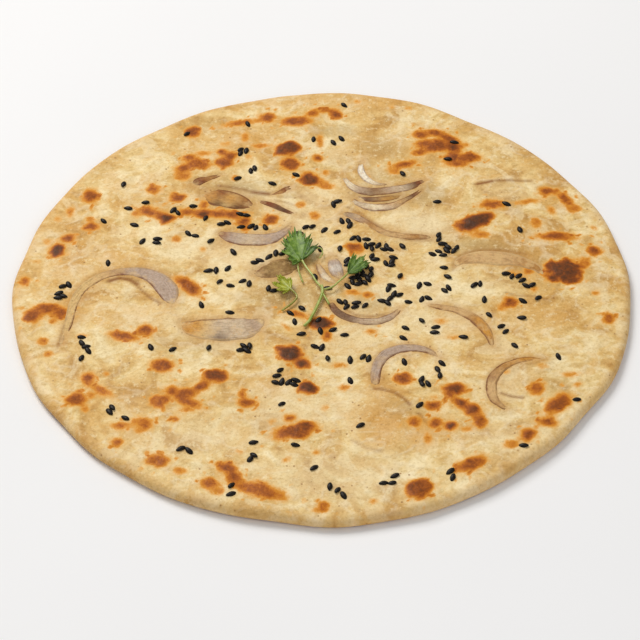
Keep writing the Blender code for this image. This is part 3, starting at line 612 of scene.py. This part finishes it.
def breadFields(x, y):
    fields = {name: tintField(x, y, spots) for name, spots in tints.items()}
    fields["crease"], fields["furrow"] = creaseField(x, y)
    fields["scorch"], fields["wrinkle"] = scorchField(x, y), wrinkleField(x, y)
    fields["outside"] = onionDistance(x, y)
    return fields


def makeBread():
    bm = bmesh.new()
    top, (u, v) = flatGrid(bm, bread["cells"], bread["cells"])
    u, v = u * np.sqrt(1 - v * v / 2), v * np.sqrt(1 - u * u / 2)  # the square moved onto a disc
    angle = np.arctan2(v, u)
    reach = rimRadius(angle) + rimScallops(angle) * np.hypot(u, v) ** 12 - bread["edgeWidth"]
    x, y = u * reach, v * reach
    fields = breadFields(x, y)
    height = topHeight(x, y)
    for layer, (size, rise) in enumerate(bread["fineRelief"]):
        height += rise * noiseAt(x, y, size, 61.0 + layer)
    height += bread["wrinkles"]["rise"] * fields["wrinkle"]
    crust = bread["crust"]
    rough = 1 + noiseAt(x, y, crust["size"], 71)
    height += crust["height"] * np.clip(fields["scorch"] - crust["from"], 0, 1) * rough
    puff = bread["puff"]
    height += puff["height"] * np.exp(-((fields["outside"] - puff["away"]) / puff["width"]) ** 2)
    height -= fields.pop("furrow")
    moveTo(top, x, y, height)
    for inset, share in bread["rimSteps"]:
        rollRim(bm, inset, share)
    bmesh.ops.holes_fill(bm, edges=openRim(bm))
    made = makeObject("bread", bm)
    places = np.array([v.co for v in made.data.vertices])
    rimX, rimY, rimHeight = places[len(x):].T / mm
    rimFields = breadFields(rimX, rimY)
    fadeOut = np.clip(rimHeight - bread["markFade"], 0, 1)
    # seat: the browner ring round each slice, partly browning and partly painted shade
    fields["seat"] = np.exp(-np.clip(fields.pop("outside"), 0, 50) / bread["seatReach"])
    rimFields["seat"] = np.zeros(len(rimX))
    for name, values in fields.items():
        setField(made.data, name, np.concatenate((values, rimFields[name] * fadeOut)))
    allX, allY, _height = places.T / mm
    edge = rimRadius(np.arctan2(allY, allX)) - np.hypot(allX, allY)
    setField(made.data, "rim", np.clip(1.0 - edge / bread["rimWidth"], 0, 1))
    places[:, :2] -= (places.min(0) + places.max(0))[:2] / 2
    made.data.vertices.foreach_set("co", places.astype(np.float32).ravel())
    made.data.update()
    return made


# Layers of the dough's colour in their order, the wrinkle layer partly painted highlight and the seat layer
# partly painted shade: strength and colour, then, where no field of the mesh has the layer's name, the
# noise's size, detail, roughness and twist, its start and its end
doughLayers = {
    "creamy": (0.5, (241, 219, 172), 12, 3, 0.55, 1.2, 0.52, 0.6),
    "oily": (0.42, (218, 170, 92), 9, 4, 0.6, 0.6, 0.52, 0.62),
    "golden": (0.85, (214, 160, 82)),
    "olive": (0.85, (178, 148, 96)),
    "pale": (0.8, (240, 219, 174)),
    "floury": (0.55, (244, 224, 176), 2.6, 5, 0.7, 0, 0.53, 0.66),
    # wrinkle: pale ridge tops, partly floury dough and partly painted highlight on the ridges
    "wrinkle": (0.4, (248, 232, 196)),
    # seat: partly browned dough, partly painted shade round each slice
    "seat": (0.5, (192, 142, 78)),
    "rim": (0.45, (208, 156, 88)),
}


def breadMaterial():
    material, tree, shader = newMaterial("griddledDough", 0.6, 0.14)
    base = ramp(tree, noiseField(tree, 16, 4, 0.6, 0.8), (
        (0.36, (198, 154, 88)), (0.45, (220, 182, 115)), (0.54, (232, 202, 140)), (0.64, (244, 224, 176)),
    ))
    base = shaded(tree, base, noiseField(tree, 4.2, 4, 0.66, 0.9, stretch=(0.75, 1, 1)), (
        (0.37, 0.86, 0.81, 0.72), (0.46, 0.97, 0.96, 0.93), (0.55, 1.02, 1.02, 1.04),
        (0.66, 1.07, 1.09, 1.14),
    ))
    for name, (most, colour, *patches) in doughLayers.items():
        if patches:
            *settings, start, end = patches
            share = remap(tree, noiseField(tree, *settings), start, end, 0, most)
        else:
            share = times(tree, attribute(tree, name), most)
        base = blend(tree, share, base, colour)
    base = shaded(tree, base, noiseField(tree, 1, rough=0.7), (
        (0.34, 0.86, 0.83, 0.77), (0.45, 0.98, 0.97, 0.96), (0.56, 1.02, 1.02, 1.02),
        (0.68, 1.06, 1.07, 1.09),
    ))
    bran = tree.nodes.new("ShaderNodeTexVoronoi")
    bran.inputs["Scale"].default_value = 1.0 / (3.2 * mm)
    tree.links.new(objectPlace(tree), bran.inputs["Vector"])
    scattered = remap(tree, noiseField(tree, 7, 2), 0.46, 0.6)
    dots = times(tree, remap(tree, bran.outputs["Distance"], 0.08, 0.15, 0.7, 0), scattered)
    base = blend(tree, dots, base, (150, 100, 54))
    # crease lines browned: partly browned dough, partly painted shade in the crease
    base = blend(tree, attribute(tree, "crease"), base, (136, 80, 30))
    burn = attribute(tree, "scorch")
    spots = maths(tree, "SUBTRACT", noiseField(tree, 1.7, 5, 0.72, 0.6), 0.5)
    burnt = maths(tree, "ADD", burn, times(tree, spots, remap(tree, burn, 0.05, 0.5, 0.2, 0.85)))
    colour = ramp(tree, burnt, (
        (0, (240, 198, 116)), (0.13, (232, 170, 80)), (0.27, (216, 142, 46)), (0.42, (192, 112, 28)),
        (0.57, (164, 88, 24)), (0.72, (132, 68, 22)), (0.86, (104, 58, 26)), (1, (80, 48, 28)),
    ))
    strength = times(tree, remap(tree, burnt, 0.04, 0.26), remap(tree, burn, 0.02, 0.1))
    final = blend(tree, strength, base, colour)
    height = tree.nodes.new("ShaderNodeSeparateXYZ")
    tree.links.new(objectPlace(tree), height.inputs["Vector"])
    under = remap(tree, height.outputs["Z"], 0.2 * mm, 1.2 * mm, 1, 0)
    underside = ramp(tree, noiseField(tree, 15, 5, 0.62, 0.6), (
        (0.36, (222, 186, 126)), (0.5, (206, 152, 84)), (0.6, (168, 100, 48)), (0.72, (106, 66, 42)),
    ))
    final = blend(tree, under, final, underside)
    gloss = remap(tree, noiseField(tree, 10), 0.35, 0.7, 0.42, 0.66)
    tree.links.new(gloss, shader.inputs["Roughness"])
    cover(tree, shader, final, ((noiseField(tree, 3.4, 5, 0.62), 0.42), (noiseField(tree, 0.9), 0.12)))
    return material


breadPiece = makeBread()
breadPiece.data.materials.append(breadMaterial())
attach(breadPiece, "root")
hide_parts("kulcha")
print("bread made:", len(breadPiece.data.polygons), "faces")


# Coriander: stalks as points of x, y and height over the dough, then radius;
# leaves as foot x, y, height, then each lobe's heading, length and half spread
sprig = {
    "stalks": (
        (((-6.4, -21.3, 0.95), (-4.6, -19, 1), (-3, -15.1, 1.15), (-1, -9.3, 1.3), (0.3, -4.4, 1.4),
          (0, -0.6, 1.4)), 0.56),
        (((0.1, -2, 1.4), (-1.8, 0.6, 1.5), (-3.6, 4.5, 1.7), (-5.6, 8.2, 1.8), (-7.2, 12, 1.9)), 0.36),
        (((-8.6, 12.6, 1.85), (-8.5, 8, 1.5), (-7.5, 3.2, 1.2), (-6.5, 0.7, 0.9)), 0.28),
        (((0.3, -4.8, 1.4), (1.8, -8.2, 1.3), (2.7, -10.6, 1.25)), 0.38),
        (((0.2, -3.2, 1.4), (3.8, -2.2, 1.8), (6.2, 0.4, 2), (8.4, 3, 2.1), (9.6, 5, 2.1)), 0.32),
        (((-3.2, 17.6, 2), (-0.4, 17.9, 1.9), (0.3, 15.4, 1.6), (-1, 12.9, 1.5)), 0.22),
    ),
    "leaves": (
        ((-7.4, 11.4, 1.8), (
            (99, 19, 32), (122, 13.8, 20), (143, 9.8, 22), (76, 14.4, 20), (54, 11, 22), (172, 5.4, 28),
            (214, 4.6, 30))),
        ((9.3, 4.4, 2.1), ((72, 11, 15), (54, 12.2, 18), (34, 10.8, 22), (8, 5.4, 26))),
    ),
}
looseLeaf = {
    "stalks": (
        (((-14.3, -13, 0.66), (-12, -11, 0.9), (-9.5, -8.2, 1.2), (-8.9, -5.8, 1.4),
          (-11.6, -2.2, 1.55)), 0.36),
    ),
    "leaves": (
        ((-11, -3, 1.5), ((126, 8.9, 26), (159, 8, 24), (192, 5.8, 28), (224, 4.4, 24), (98, 6.2, 24))),
    ),
}
leafShape = {
    "heart": 1.3, "rise": 0.9, "pleat": 0.3, "thickness": 0.3,
    "cellAngle": 0.9, "lengthCells": 16, "toothAngle": 7.5, "toothDepth": 0.36, "ripple": 0.2,
}
stalkShape = {"step": 0.8, "sides": 12, "ribs": 0.12}


# Black seeds, thrown by the same rule as the solid's
seeds = {
    "length": 3.5, "width": 2, "height": 1.3, "lift": 0.22, "taper": 0.3,
    "spacing": 2, "clearance": 1.4, "headroom": 1.3, "scatterCount": 12, "scatterSpacing": 12,
    "reach": 104, "randomSeed": 11, "sizeSeed": 5, "segments": 8, "rings": 7,
    "clumps": (  # x, y, half length, half width, turn in degrees, how many
        (11.5, 3, 5.4, 3, 15, 11), (16, 8, 4, 2.5, -60, 5), (10, 12, 2, 1.5, 0, 3), (25, 13, 3, 1.5, 60, 4),
        (18, 21, 3.5, 1.5, -15, 4), (23, 20, 2, 1.5, 0, 3), (14, 24.5, 3.4, 1.2, 0, 4),
        (29.5, 21, 2, 1, 90, 2), (19, 15, 1.4, 1.2, 0, 3), (8, -9.6, 3, 1.8, -30, 4),
        (13, -10, 4, 1.5, 0, 6), (23, -7, 2, 1.5, 0, 4), (24, -1, 2, 1.5, 60, 2), (27, -4, 2, 1, 45, 2),
        (37, -7, 1.6, 1.2, 40, 2), (45, -2, 1.5, 1, 0, 2), (-16, 17, 4.6, 1.2, 30, 5),
        (-22.5, 13, 2.2, 0.9, 40, 2), (-27, 3, 2, 2, -50, 3), (-40, 8, 1, 2, 90, 2),
        (-40, 27, 3.6, 1.5, 85, 4), (-36, 33, 2.5, 1.5, 20, 3), (-28, 39, 2.5, 1.5, 20, 3),
        (-24, 31.5, 6, 0.8, 0, 4), (-4, 32, 2, 1.2, 0, 2), (-54, 40, 1.6, 1, 0, 2),
        (-71, 42, 1.4, 1, 60, 2), (-66, 45, 1, 1, 0, 1), (9.5, 33, 2.5, 1.2, -20, 3),
        (-12, -48, 4, 1.5, 0, 5), (-15, -43.5, 2, 1, 90, 3), (-27, -31.5, 2.5, 1.5, 10, 4),
        (-1, -31, 1.6, 1.2, 0, 2), (2, -36, 1.4, 1.2, 0, 3), (16, -36.6, 2.2, 0.8, -20, 2),
        (35, -48, 2, 1.5, -40, 3), (41, -42, 3.5, 1, 80, 3), (29.5, -21, 1.6, 1, 0, 2),
        (-72, -61, 2, 1, 90, 2), (23, -93, 3, 3, 0, 3), (73, 2, 3, 1.2, -30, 3), (69, 6, 3, 1, 0, 3),
        (44, 20, 4, 2, 80, 4), (-93.5, -5, 2, 1.2, 90, 3), (-91.6, 0.5, 1.2, 1, 0, 2),
        (-29.5, 74, 1.8, 1.4, 0, 4), (-25.8, 64, 1.6, 0.8, 60, 2), (6.2, 79.8, 3, 1, 50, 2),
        (5.5, 44.8, 2.6, 0.8, 40, 2), (-18.2, -0.8, 2, 1, -45, 2), (42.6, 26.5, 2, 0.8, 90, 2),
        (41.6, 18, 2.4, 0.8, 50, 2), (48.8, 18.8, 2.4, 0.8, 60, 2), (54.6, 0.8, 4, 0.8, 10, 2),
        (35.4, 1, 3.4, 0.8, 0, 2), (-61, 23, 3, 0.8, 70, 2), (-48.4, 28.1, 2.4, 0.8, -30, 2),
        (-83, -32, 7, 5, -70, 5), (38.5, -18, 6, 3, -70, 3), (63, -21, 3, 0.8, -50, 2),
        (76, -6.5, 5, 1, 15, 2), (-44.7, -79.6, 3.4, 0.8, -10, 2), (-23.5, -80, 6, 1, 90, 3),
        (-30, -96.5, 3, 0.8, 90, 2), (6, -98, 4.5, 0.9, -40, 3), (43.5, -90, 4, 1, 80, 2),
    ),
    "loneSpacing": 4.2, "loneSeed": 23,
    "lone": (  # thinly thrown seeds beyond the solid's: x, y, reach and how many
        (0, 16, 17, 9), (2, -14, 14, 9), (-30, -16, 18, 3), (-30, 14, 16, 4), (24, -44, 20, 5),
        (34, 6, 16, 4), (64, -10, 22, 5), (-62, 30, 22, 5), (-20, 76, 22, 4), (-68, -46, 24, 3),
        (-8, -78, 26, 3), (44, 60, 24, 3),
    ),
}


def routeDistance(x, y, start, stop):
    dx, dy = stop[0] - start[0], stop[1] - start[1]
    share = ((x - start[0]) * dx + (y - start[1]) * dy) / (dx * dx + dy * dy)
    share = min(1.0, max(0.0, share))
    return math.hypot(x - start[0] - share * dx, y - start[1] - share * dy)


def seedObstacles():  # the slices, and the parts of the stalks too low for a seed to lie under
    low = [[(x, y, radius) for x, y, height in points if height - radius < seeds["headroom"]]
           for points, radius in sprig["stalks"] + looseLeaf["stalks"]]
    return [smoothRoute(line, coarseStep) for line in onionLines] + low


def isBlocked(x, y, obstacles):
    for line in obstacles:
        for start, stop in zip(line, line[1:]):
            if routeDistance(x, y, start, stop) < max(start[2], stop[2]) + seeds["clearance"]:
                return True
    return False


def seedPlaces():
    draw = random.Random(seeds["randomSeed"])
    obstacles = seedObstacles()
    places = []

    def tryPlace(x, y, spacing):
        turn, lean = draw.uniform(0, math.pi), draw.uniform(-0.2, 0.2)
        if math.hypot(x, y) > seeds["reach"] or isBlocked(x, y, obstacles):
            return False
        if any(math.hypot(x - px, y - py) < spacing for px, py, _turn, _lean in places):
            return False
        places.append((x, y, turn, lean))
        return True

    for cx, cy, halfLength, halfWidth, turn, count in seeds["clumps"]:
        placed = 0
        for _attempt in range(40 * count):
            if placed == count:
                break
            out, angle = math.sqrt(draw.random()), draw.uniform(0, 2 * math.pi)
            along, across = out * halfLength * math.cos(angle), out * halfWidth * math.sin(angle)
            cos, sin = math.cos(math.radians(turn)), math.sin(math.radians(turn))
            x, y = cx + along * cos - across * sin, cy + along * sin + across * cos
            placed += tryPlace(x, y, seeds["spacing"])
    placed = 0
    while placed < seeds["scatterCount"]:
        x = draw.uniform(-seeds["reach"], seeds["reach"])
        y = draw.uniform(-seeds["reach"], seeds["reach"])
        placed += tryPlace(x, y, seeds["scatterSpacing"])
    draw = random.Random(seeds["loneSeed"])
    for cx, cy, reach, count in seeds["lone"]:
        placed = 0
        while placed < count:
            out, angle = reach * math.sqrt(draw.random()), draw.uniform(0, 2 * math.pi)
            placed += tryPlace(cx + out * math.cos(angle), cy + out * math.sin(angle), seeds["loneSpacing"])
    return places


def makeSeeds():
    bm = bmesh.new()
    places = seedPlaces()
    heights = topHeight([p[0] for p in places], [p[1] for p in places])
    draw = random.Random(seeds["sizeSeed"])
    for (x, y, turn, lean), height in zip(places, heights):
        made = bmesh.ops.create_uvsphere(
            bm, u_segments=seeds["segments"], v_segments=seeds["rings"], radius=0.5)
        size = draw.uniform(0.92, 1.08)
        flip = draw.choice((-1, 1))
        for vert in made["verts"]:
            along, wide, high = vert.co.z * 2, vert.co.x, vert.co.y
            slim = (1.0 - seeds["taper"] * max(0.0, along)) * (1.0 + 0.05 * min(0.0, along))
            px = flip * along / 2 * seeds["length"] * size
            py = wide * slim * seeds["width"] * size
            pz = high * slim * seeds["height"] + px * math.sin(lean)
            vert.co = (
                (x + px * math.cos(turn) - py * math.sin(turn)) * mm,
                (y + px * math.sin(turn) + py * math.cos(turn)) * mm,
                (height + seeds["lift"] + pz) * mm,
            )
    return makeObject("black_seeds", bm)


def seedMaterial():
    material, tree, shader = newMaterial("blackSeedCoat", 0.42, 0.2)
    tone = ramp(tree, noiseField(tree, 0.8, 2), ((0.3, (10, 7, 4)), (0.75, (32, 24, 18))))
    cover(tree, shader, tone, ((noiseField(tree, 0.3, 2), 0.05),))
    return material


seedPiece = makeSeeds()
seedPiece.data.materials.append(seedMaterial())
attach(seedPiece, "root")
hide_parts("kulcha")
print("seeds laid:", len(seedPiece.data.polygons) // (seeds["segments"] * seeds["rings"]))


# Onion slices
onionShape = {
    "sink": 0.5, "aroundCells": 30, "step": 0.6,
    "squareness": 0.62,  # below 1 the section is flatter on top than an ellipse
    "flatTop": 0.7, "cup": 0.1, "grooveDepth": 0.05, "wobble": 0.07,
    "shownWidth": 0.87,  # share of the width that stands out of the dough
}
onionTones = {
    "lilac": (184, 156, 128), "paleLilac": (206, 182, 150), "coolLilac": (184, 160, 140),
    "grey": (150, 122, 88), "purple": (124, 92, 66), "dough": (216, 180, 118), "pinkDough": (206, 166, 112),
    "pale": (236, 218, 184), "white": (248, 236, 214), "coolWhite": (214, 202, 186),
    "olive": (140, 106, 58), "oliveLight": (166, 132, 78), "tan": (180, 130, 70), "golden": (206, 146, 60),
    "brown": (128, 66, 28), "darkBrown": (74, 40, 20),
}
# Browned spots on the slices: x, y, radius, tone, strength
onionSpots = (
    (-73, 6.6, 2.4, "brown", 0.8), (-36.5, 50.6, 3.4, "brown", 0.9), (-39, 43.8, 3, "darkBrown", 0.8),
    (-34, 47, 2.6, "golden", 0.8), (-31, 41.6, 3, "darkBrown", 0.8), (-36, -27.4, 3.4, "darkBrown", 0.7),
    (-44, -21, 2.6, "golden", 0.8), (39.5, 26, 1.8, "brown", 0.9), (16.2, 68.8, 1, "darkBrown", 0.9),
    (37, 56, 2, "brown", 0.7), (-36.4, 27.5, 2, "brown", 0.7), (-25, 7, 1.8, "darkBrown", 0.8),
    (55.5, -17.5, 2, "golden", 0.8), (20, 52.6, 2.6, "brown", 0.5), (58.6, -46, 1.8, "brown", 0.6),
    (24, 46, 3.4, "golden", 0.6),
)


def toneAlong(names, share):  # the slice's colour at each share of its length
    stops = np.array([linear(*onionTones[name])[:3] for name in names])
    marks = np.linspace(0, 1, len(stops))
    return np.stack([np.interp(share, marks, band) for band in stops.T], axis=1)


def makeOnion(name):
    flatness, line, toneNames = onions[name][:3]
    bm = bmesh.new()
    verts, index, around, route, steps, lengths = tubeGrid(
        bm, line, onionShape["step"], onionShape["aroundCells"])
    last = len(route) - 1
    travelled = np.cumsum(lengths)
    half = route[index, 2]
    toTip = np.minimum(index, last - index) * onionShape["step"]
    tip = np.minimum(1, np.sqrt(toTip / (half + 0.3)))
    cos, sin = np.cos(around), np.sin(around)
    wide = np.copysign(np.abs(cos) ** onionShape["squareness"], cos)
    high = np.copysign(np.abs(sin) ** onionShape["flatTop"], sin)
    shift = 3.7 * list(onions).index(name)
    edge = 1 + onionShape["wobble"] * noiseAt(travelled[index], 2.0 * wide, 4, shift)
    across = wide * half * tip * edge
    top = (sin > 0) * tip
    groove = onionShape["grooveDepth"] * np.cos(across * 4.6 + shift) - onionShape["cup"] * (1 - wide**2)
    x = route[index, 0] - steps[index, 1] * across
    y = route[index, 1] + steps[index, 0] * across
    rise = high * half * flatness * tip - onionShape["sink"] * half * flatness + groove * top
    moveTo(verts, x, y, topHeight(x, y) + rise)
    inside = (onionShape["shownWidth"] - np.abs(wide)) * half
    fields = {
        "along": travelled[index], "across": across, "inside": inside, "side": np.sign(wide),
        "toEnd": toTip,
    }
    layers = {key: bm.verts.layers.float.new(key) for key in fields}
    toneLayer = bm.verts.layers.float_color.new("tone")
    tones = toneAlong(toneNames, index / last)
    for spotX, spotY, radius, tone, strength in onionSpots:
        weight = strength * np.exp(-((np.hypot(x - spotX, y - spotY) / radius) ** 2))[:, None]
        tones = tones * (1 - weight) + np.array(linear(*onionTones[tone])[:3]) * weight
    for number, vert in enumerate(bm.verts):
        for key, layer in layers.items():
            vert[layer] = fields[key][number]
        vert[toneLayer] = (*tones[number], 1)
    bmesh.ops.remove_doubles(bm, verts=bm.verts, dist=joinDistance)
    made = makeObject(name, bm)
    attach(made, "root")
    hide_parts(name)
    return made


def onionMaterial(name, leftBrown, rightBrown, doughCover):
    material, tree, shader = newMaterial(name + "_flesh", 0.46, 0.16, 0.1, (0.0015, 0.001, 0.0007))
    tone = tree.nodes.new("ShaderNodeAttribute")
    tone.attribute_name = "tone"
    grain = tree.nodes.new("ShaderNodeCombineXYZ")
    tree.links.new(times(tree, attribute(tree, "across"), 2.2), grain.inputs["X"])
    tree.links.new(times(tree, attribute(tree, "along"), 0.22), grain.inputs["Y"])
    streak = noiseField(tree, 1.0 / mm, 5, 0.65, source=grain.outputs["Vector"])
    colour = shaded(tree, tone.outputs["Color"], streak, (
        (0.34, 0.78, 0.74, 0.7), (0.46, 0.96, 0.95, 0.94), (0.56, 1.04, 1.04, 1.04),
        (0.66, 1.14, 1.15, 1.16),
    ))
    colour = shaded(tree, colour, noiseField(tree, 1.3, 4, 0.7), (
        (0.36, 0.8, 0.76, 0.72), (0.5, 1, 1, 1), (0.66, 1.12, 1.14, 1.16),
    ))
    ragged = maths(tree, "SUBTRACT", noiseField(tree, 2.4, 4, 0.6), 0.5)
    inside = maths(tree, "ADD", attribute(tree, "inside"), times(tree, ragged, 1.2))
    toEnd = maths(tree, "ADD", attribute(tree, "toEnd"), times(tree, ragged, 9))
    through = remap(tree, noiseField(tree, 4.4, 4, 0.62), 0.47, 0.62, 0, doughCover)
    colour = blend(tree, through, colour, (220, 182, 124))  # the dough seen through the flesh
    brownness = remap(tree, attribute(tree, "side"), -1, 1, leftBrown, rightBrown)
    covered = times(tree, remap(tree, inside, 0.1, 0.8, 1, 0), maths(tree, "SUBTRACT", 1, brownness))
    covered = maths(tree, "MAXIMUM", covered, remap(tree, toEnd, 0.6, 3.4, 1, 0))
    covered = times(tree, covered, min(1, 0.3 + doughCover))
    colour = blend(tree, covered, colour, (228, 194, 136))  # dough creeping over edges and ends
    outline = times(tree, remap(tree, inside, 0, 0.9, 0.95, 0), brownness)
    tip = times(tree, remap(tree, toEnd, 0.2, 1.4, 1, 0), 0.8 * (1.0 - doughCover))
    outline = maths(tree, "MAXIMUM", outline, tip)
    patchy = remap(tree, noiseField(tree, 5, 2), 0.38, 0.54, 0.4, 1)
    colour = blend(tree, times(tree, outline, patchy), colour, (120, 70, 30))
    cover(tree, shader, colour, ((streak, 0.25), (noiseField(tree, 0.9), 0.12)))
    return material


for onionName in onions:
    slicePiece = makeOnion(onionName)
    slicePiece.data.materials.append(onionMaterial(onionName, *onions[onionName][3:]))
print("onion slices made:", len(onions))


def leafReach(lobes, angle):  # reach of the edge at each angle, degrees to the nearest vein, the teeth
    reach = np.full(len(angle), leafShape["heart"])
    vein = np.full(len(angle), 180.0)
    for heading, length, spread in lobes:
        off = (angle - heading) / spread
        reach = np.maximum(reach, length * (1 - off * off))
        vein = np.minimum(vein, np.abs(angle - heading))
    saw = (angle / leafShape["toothAngle"]) % 1.0
    saw = 0.6 * saw + 0.4 * ((angle / leafShape["toothAngle"] * 1.7) % 1)
    return reach, vein, 1 - leafShape["toothDepth"] * saw


def makeLeaves(name, leaves, shades):
    bm = bmesh.new()
    layers = [bm.verts.layers.float.new(key) for key in ("vein", "out", "shade")]
    for (foot, lobes), shade in zip(leaves, shades):
        start = min(heading - spread for heading, _length, spread in lobes)
        sweep = max(heading + spread for heading, _length, spread in lobes) - start
        cells = round(sweep / leafShape["cellAngle"])
        verts, (turned, out) = flatGrid(bm, cells, leafShape["lengthCells"])
        angle, out = start + sweep * (1 - turned) / 2, (out + 1) / 2
        reach, vein, teeth = leafReach(lobes, angle)
        radius = reach * (0.06 + 0.94 * out) * (1 + (teeth - 1) * out**3)
        x = foot[0] + radius * np.cos(np.radians(angle))
        y = foot[1] + radius * np.sin(np.radians(angle))
        pleat = leafShape["pleat"] * out * np.cos(np.radians(9 * angle))
        ripple = leafShape["ripple"] * out * noiseAt(x, y, 1.5, 5)
        height = topHeight(x, y) + foot[2] + leafShape["rise"] * out**2 + pleat + ripple
        moveTo(verts, x, y, height)
        for layer, values in zip(layers, (np.radians(vein) * radius, out, shade(angle, out))):
            for vert, value in zip(verts, values):
                vert[layer] = value
    made = makeObject(name, bm)
    shell = made.modifiers.new("thickness", "SOLIDIFY")
    shell.thickness = leafShape["thickness"] * mm
    shell.offset = 0.0
    return made


def makeStalks(name, stalks):
    bm = bmesh.new()
    for points, radius in stalks:
        verts, index, around, route, steps, _lengths = tubeGrid(
            bm, points, stalkShape["step"], stalkShape["sides"])
        ground = topHeight(route[:, 0], route[:, 1])
        closing = (index > 0) & (index < len(route) - 1)
        thick = radius * closing * (1 + stalkShape["ribs"] * np.cos(3 * around))
        x = route[index, 0] - steps[index, 1] * thick * np.cos(around)
        y = route[index, 1] + steps[index, 0] * thick * np.cos(around)
        moveTo(verts, x, y, ground[index] + route[index, 2] + thick * np.sin(around))
        bmesh.ops.remove_doubles(bm, verts=verts, dist=joinDistance)
    return makeObject(name, bm)


def leafMaterial(name, colours, veinColour):
    material, tree, shader = newMaterial(name, 0.45, 0.4, 0.1, (0.0005, 0.001, 0.0003))
    cloud = noiseField(tree, 2.2, 4, 0.6)
    # each leaf's shade field darkens the green: painted shade
    tone = maths(tree, "ADD", cloud, times(tree, attribute(tree, "shade"), -0.3))
    colour = ramp(tree, tone, tuple(zip((0.15, 0.35, 0.52, 0.68), colours)))
    vein = times(tree, remap(tree, attribute(tree, "vein"), 0.05, 0.32, 0.6, 0),
                 remap(tree, attribute(tree, "out"), 0.3, 0.95, 1, 0.1))
    colour = blend(tree, vein, colour, veinColour)
    cover(tree, shader, colour, ((noiseField(tree, 1.1), 0.16),))
    return material


def stalkMaterial(name, colours):
    material, tree, shader = newMaterial(name, 0.36, 0.5, 0.15, (0.0006, 0.001, 0.0004))
    tone = ramp(tree, noiseField(tree, 3, 2), tuple(zip((0.35, 0.65), colours)))
    cover(tree, shader, tone)
    return material


# painted shade on the far leaf's right side
def darkToRight(angle, out):  # the far leaf is darker on its right
    return np.clip((92 - angle) / 30, 0, 1) * 0.8


# painted shade on the right leaf, near its foot and on its lower side
def darkToLeft(angle, out):  # the right leaf is darker near its foot and on its lower side
    return np.clip(1.1 - 1.4 * out, 0, 1) * 0.9 + np.clip((40 - angle) / 30, 0, 0.5)


# the young leaf a little darker towards its foot
def paleAllOver(angle, out):
    return 0.2 * (1 - out)


greens = ((48, 78, 14), (78, 110, 24), (104, 136, 42), (148, 172, 76))
limes = ((106, 118, 18), (140, 146, 24), (164, 168, 38), (196, 196, 80))
greenLeaf = leafMaterial("corianderLeaf", greens, (122, 152, 66))
limeLeaf = leafMaterial("youngLeaf", limes, (196, 204, 116))
greenStalk = stalkMaterial("corianderStalk", ((142, 156, 56), (186, 194, 108)))
limeStalk = stalkMaterial("youngStalk", ((126, 126, 36), (164, 160, 66)))
leafPiece = makeLeaves("coriander_leaves", sprig["leaves"], (darkToRight, darkToLeft))
for sprigPiece, finish, node in (
    (leafPiece, greenLeaf, "coriander_sprig"),
    (makeStalks("coriander_stalks", sprig["stalks"]), greenStalk, "coriander_sprig"),
    (makeLeaves("young_leaf", looseLeaf["leaves"], (paleAllOver,)), limeLeaf, "coriander_leaf"),
    (makeStalks("young_stalk", looseLeaf["stalks"]), limeStalk, "coriander_leaf"),
):
    sprigPiece.data.materials.append(finish)
    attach(sprigPiece, "root")
    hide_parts(node)
print("coriander made")


# Pale floor
floorBm = bmesh.new()
bmesh.ops.create_grid(floorBm, x_segments=1, y_segments=1, size=4)
floor = makeObject("floor", floorBm, smooth=False)
floorFinish, floorTree, floorShader = newMaterial("paleFloor", 0.7, 0.2)
floorTone = ramp(floorTree, noiseField(floorTree, 300), (
    (0.3, (0.87, 0.872, 0.88, 1)), (0.7, (0.9, 0.902, 0.91, 1)),
))
cover(floorTree, floorShader, floorTone)
floor.data.materials.append(floorFinish)
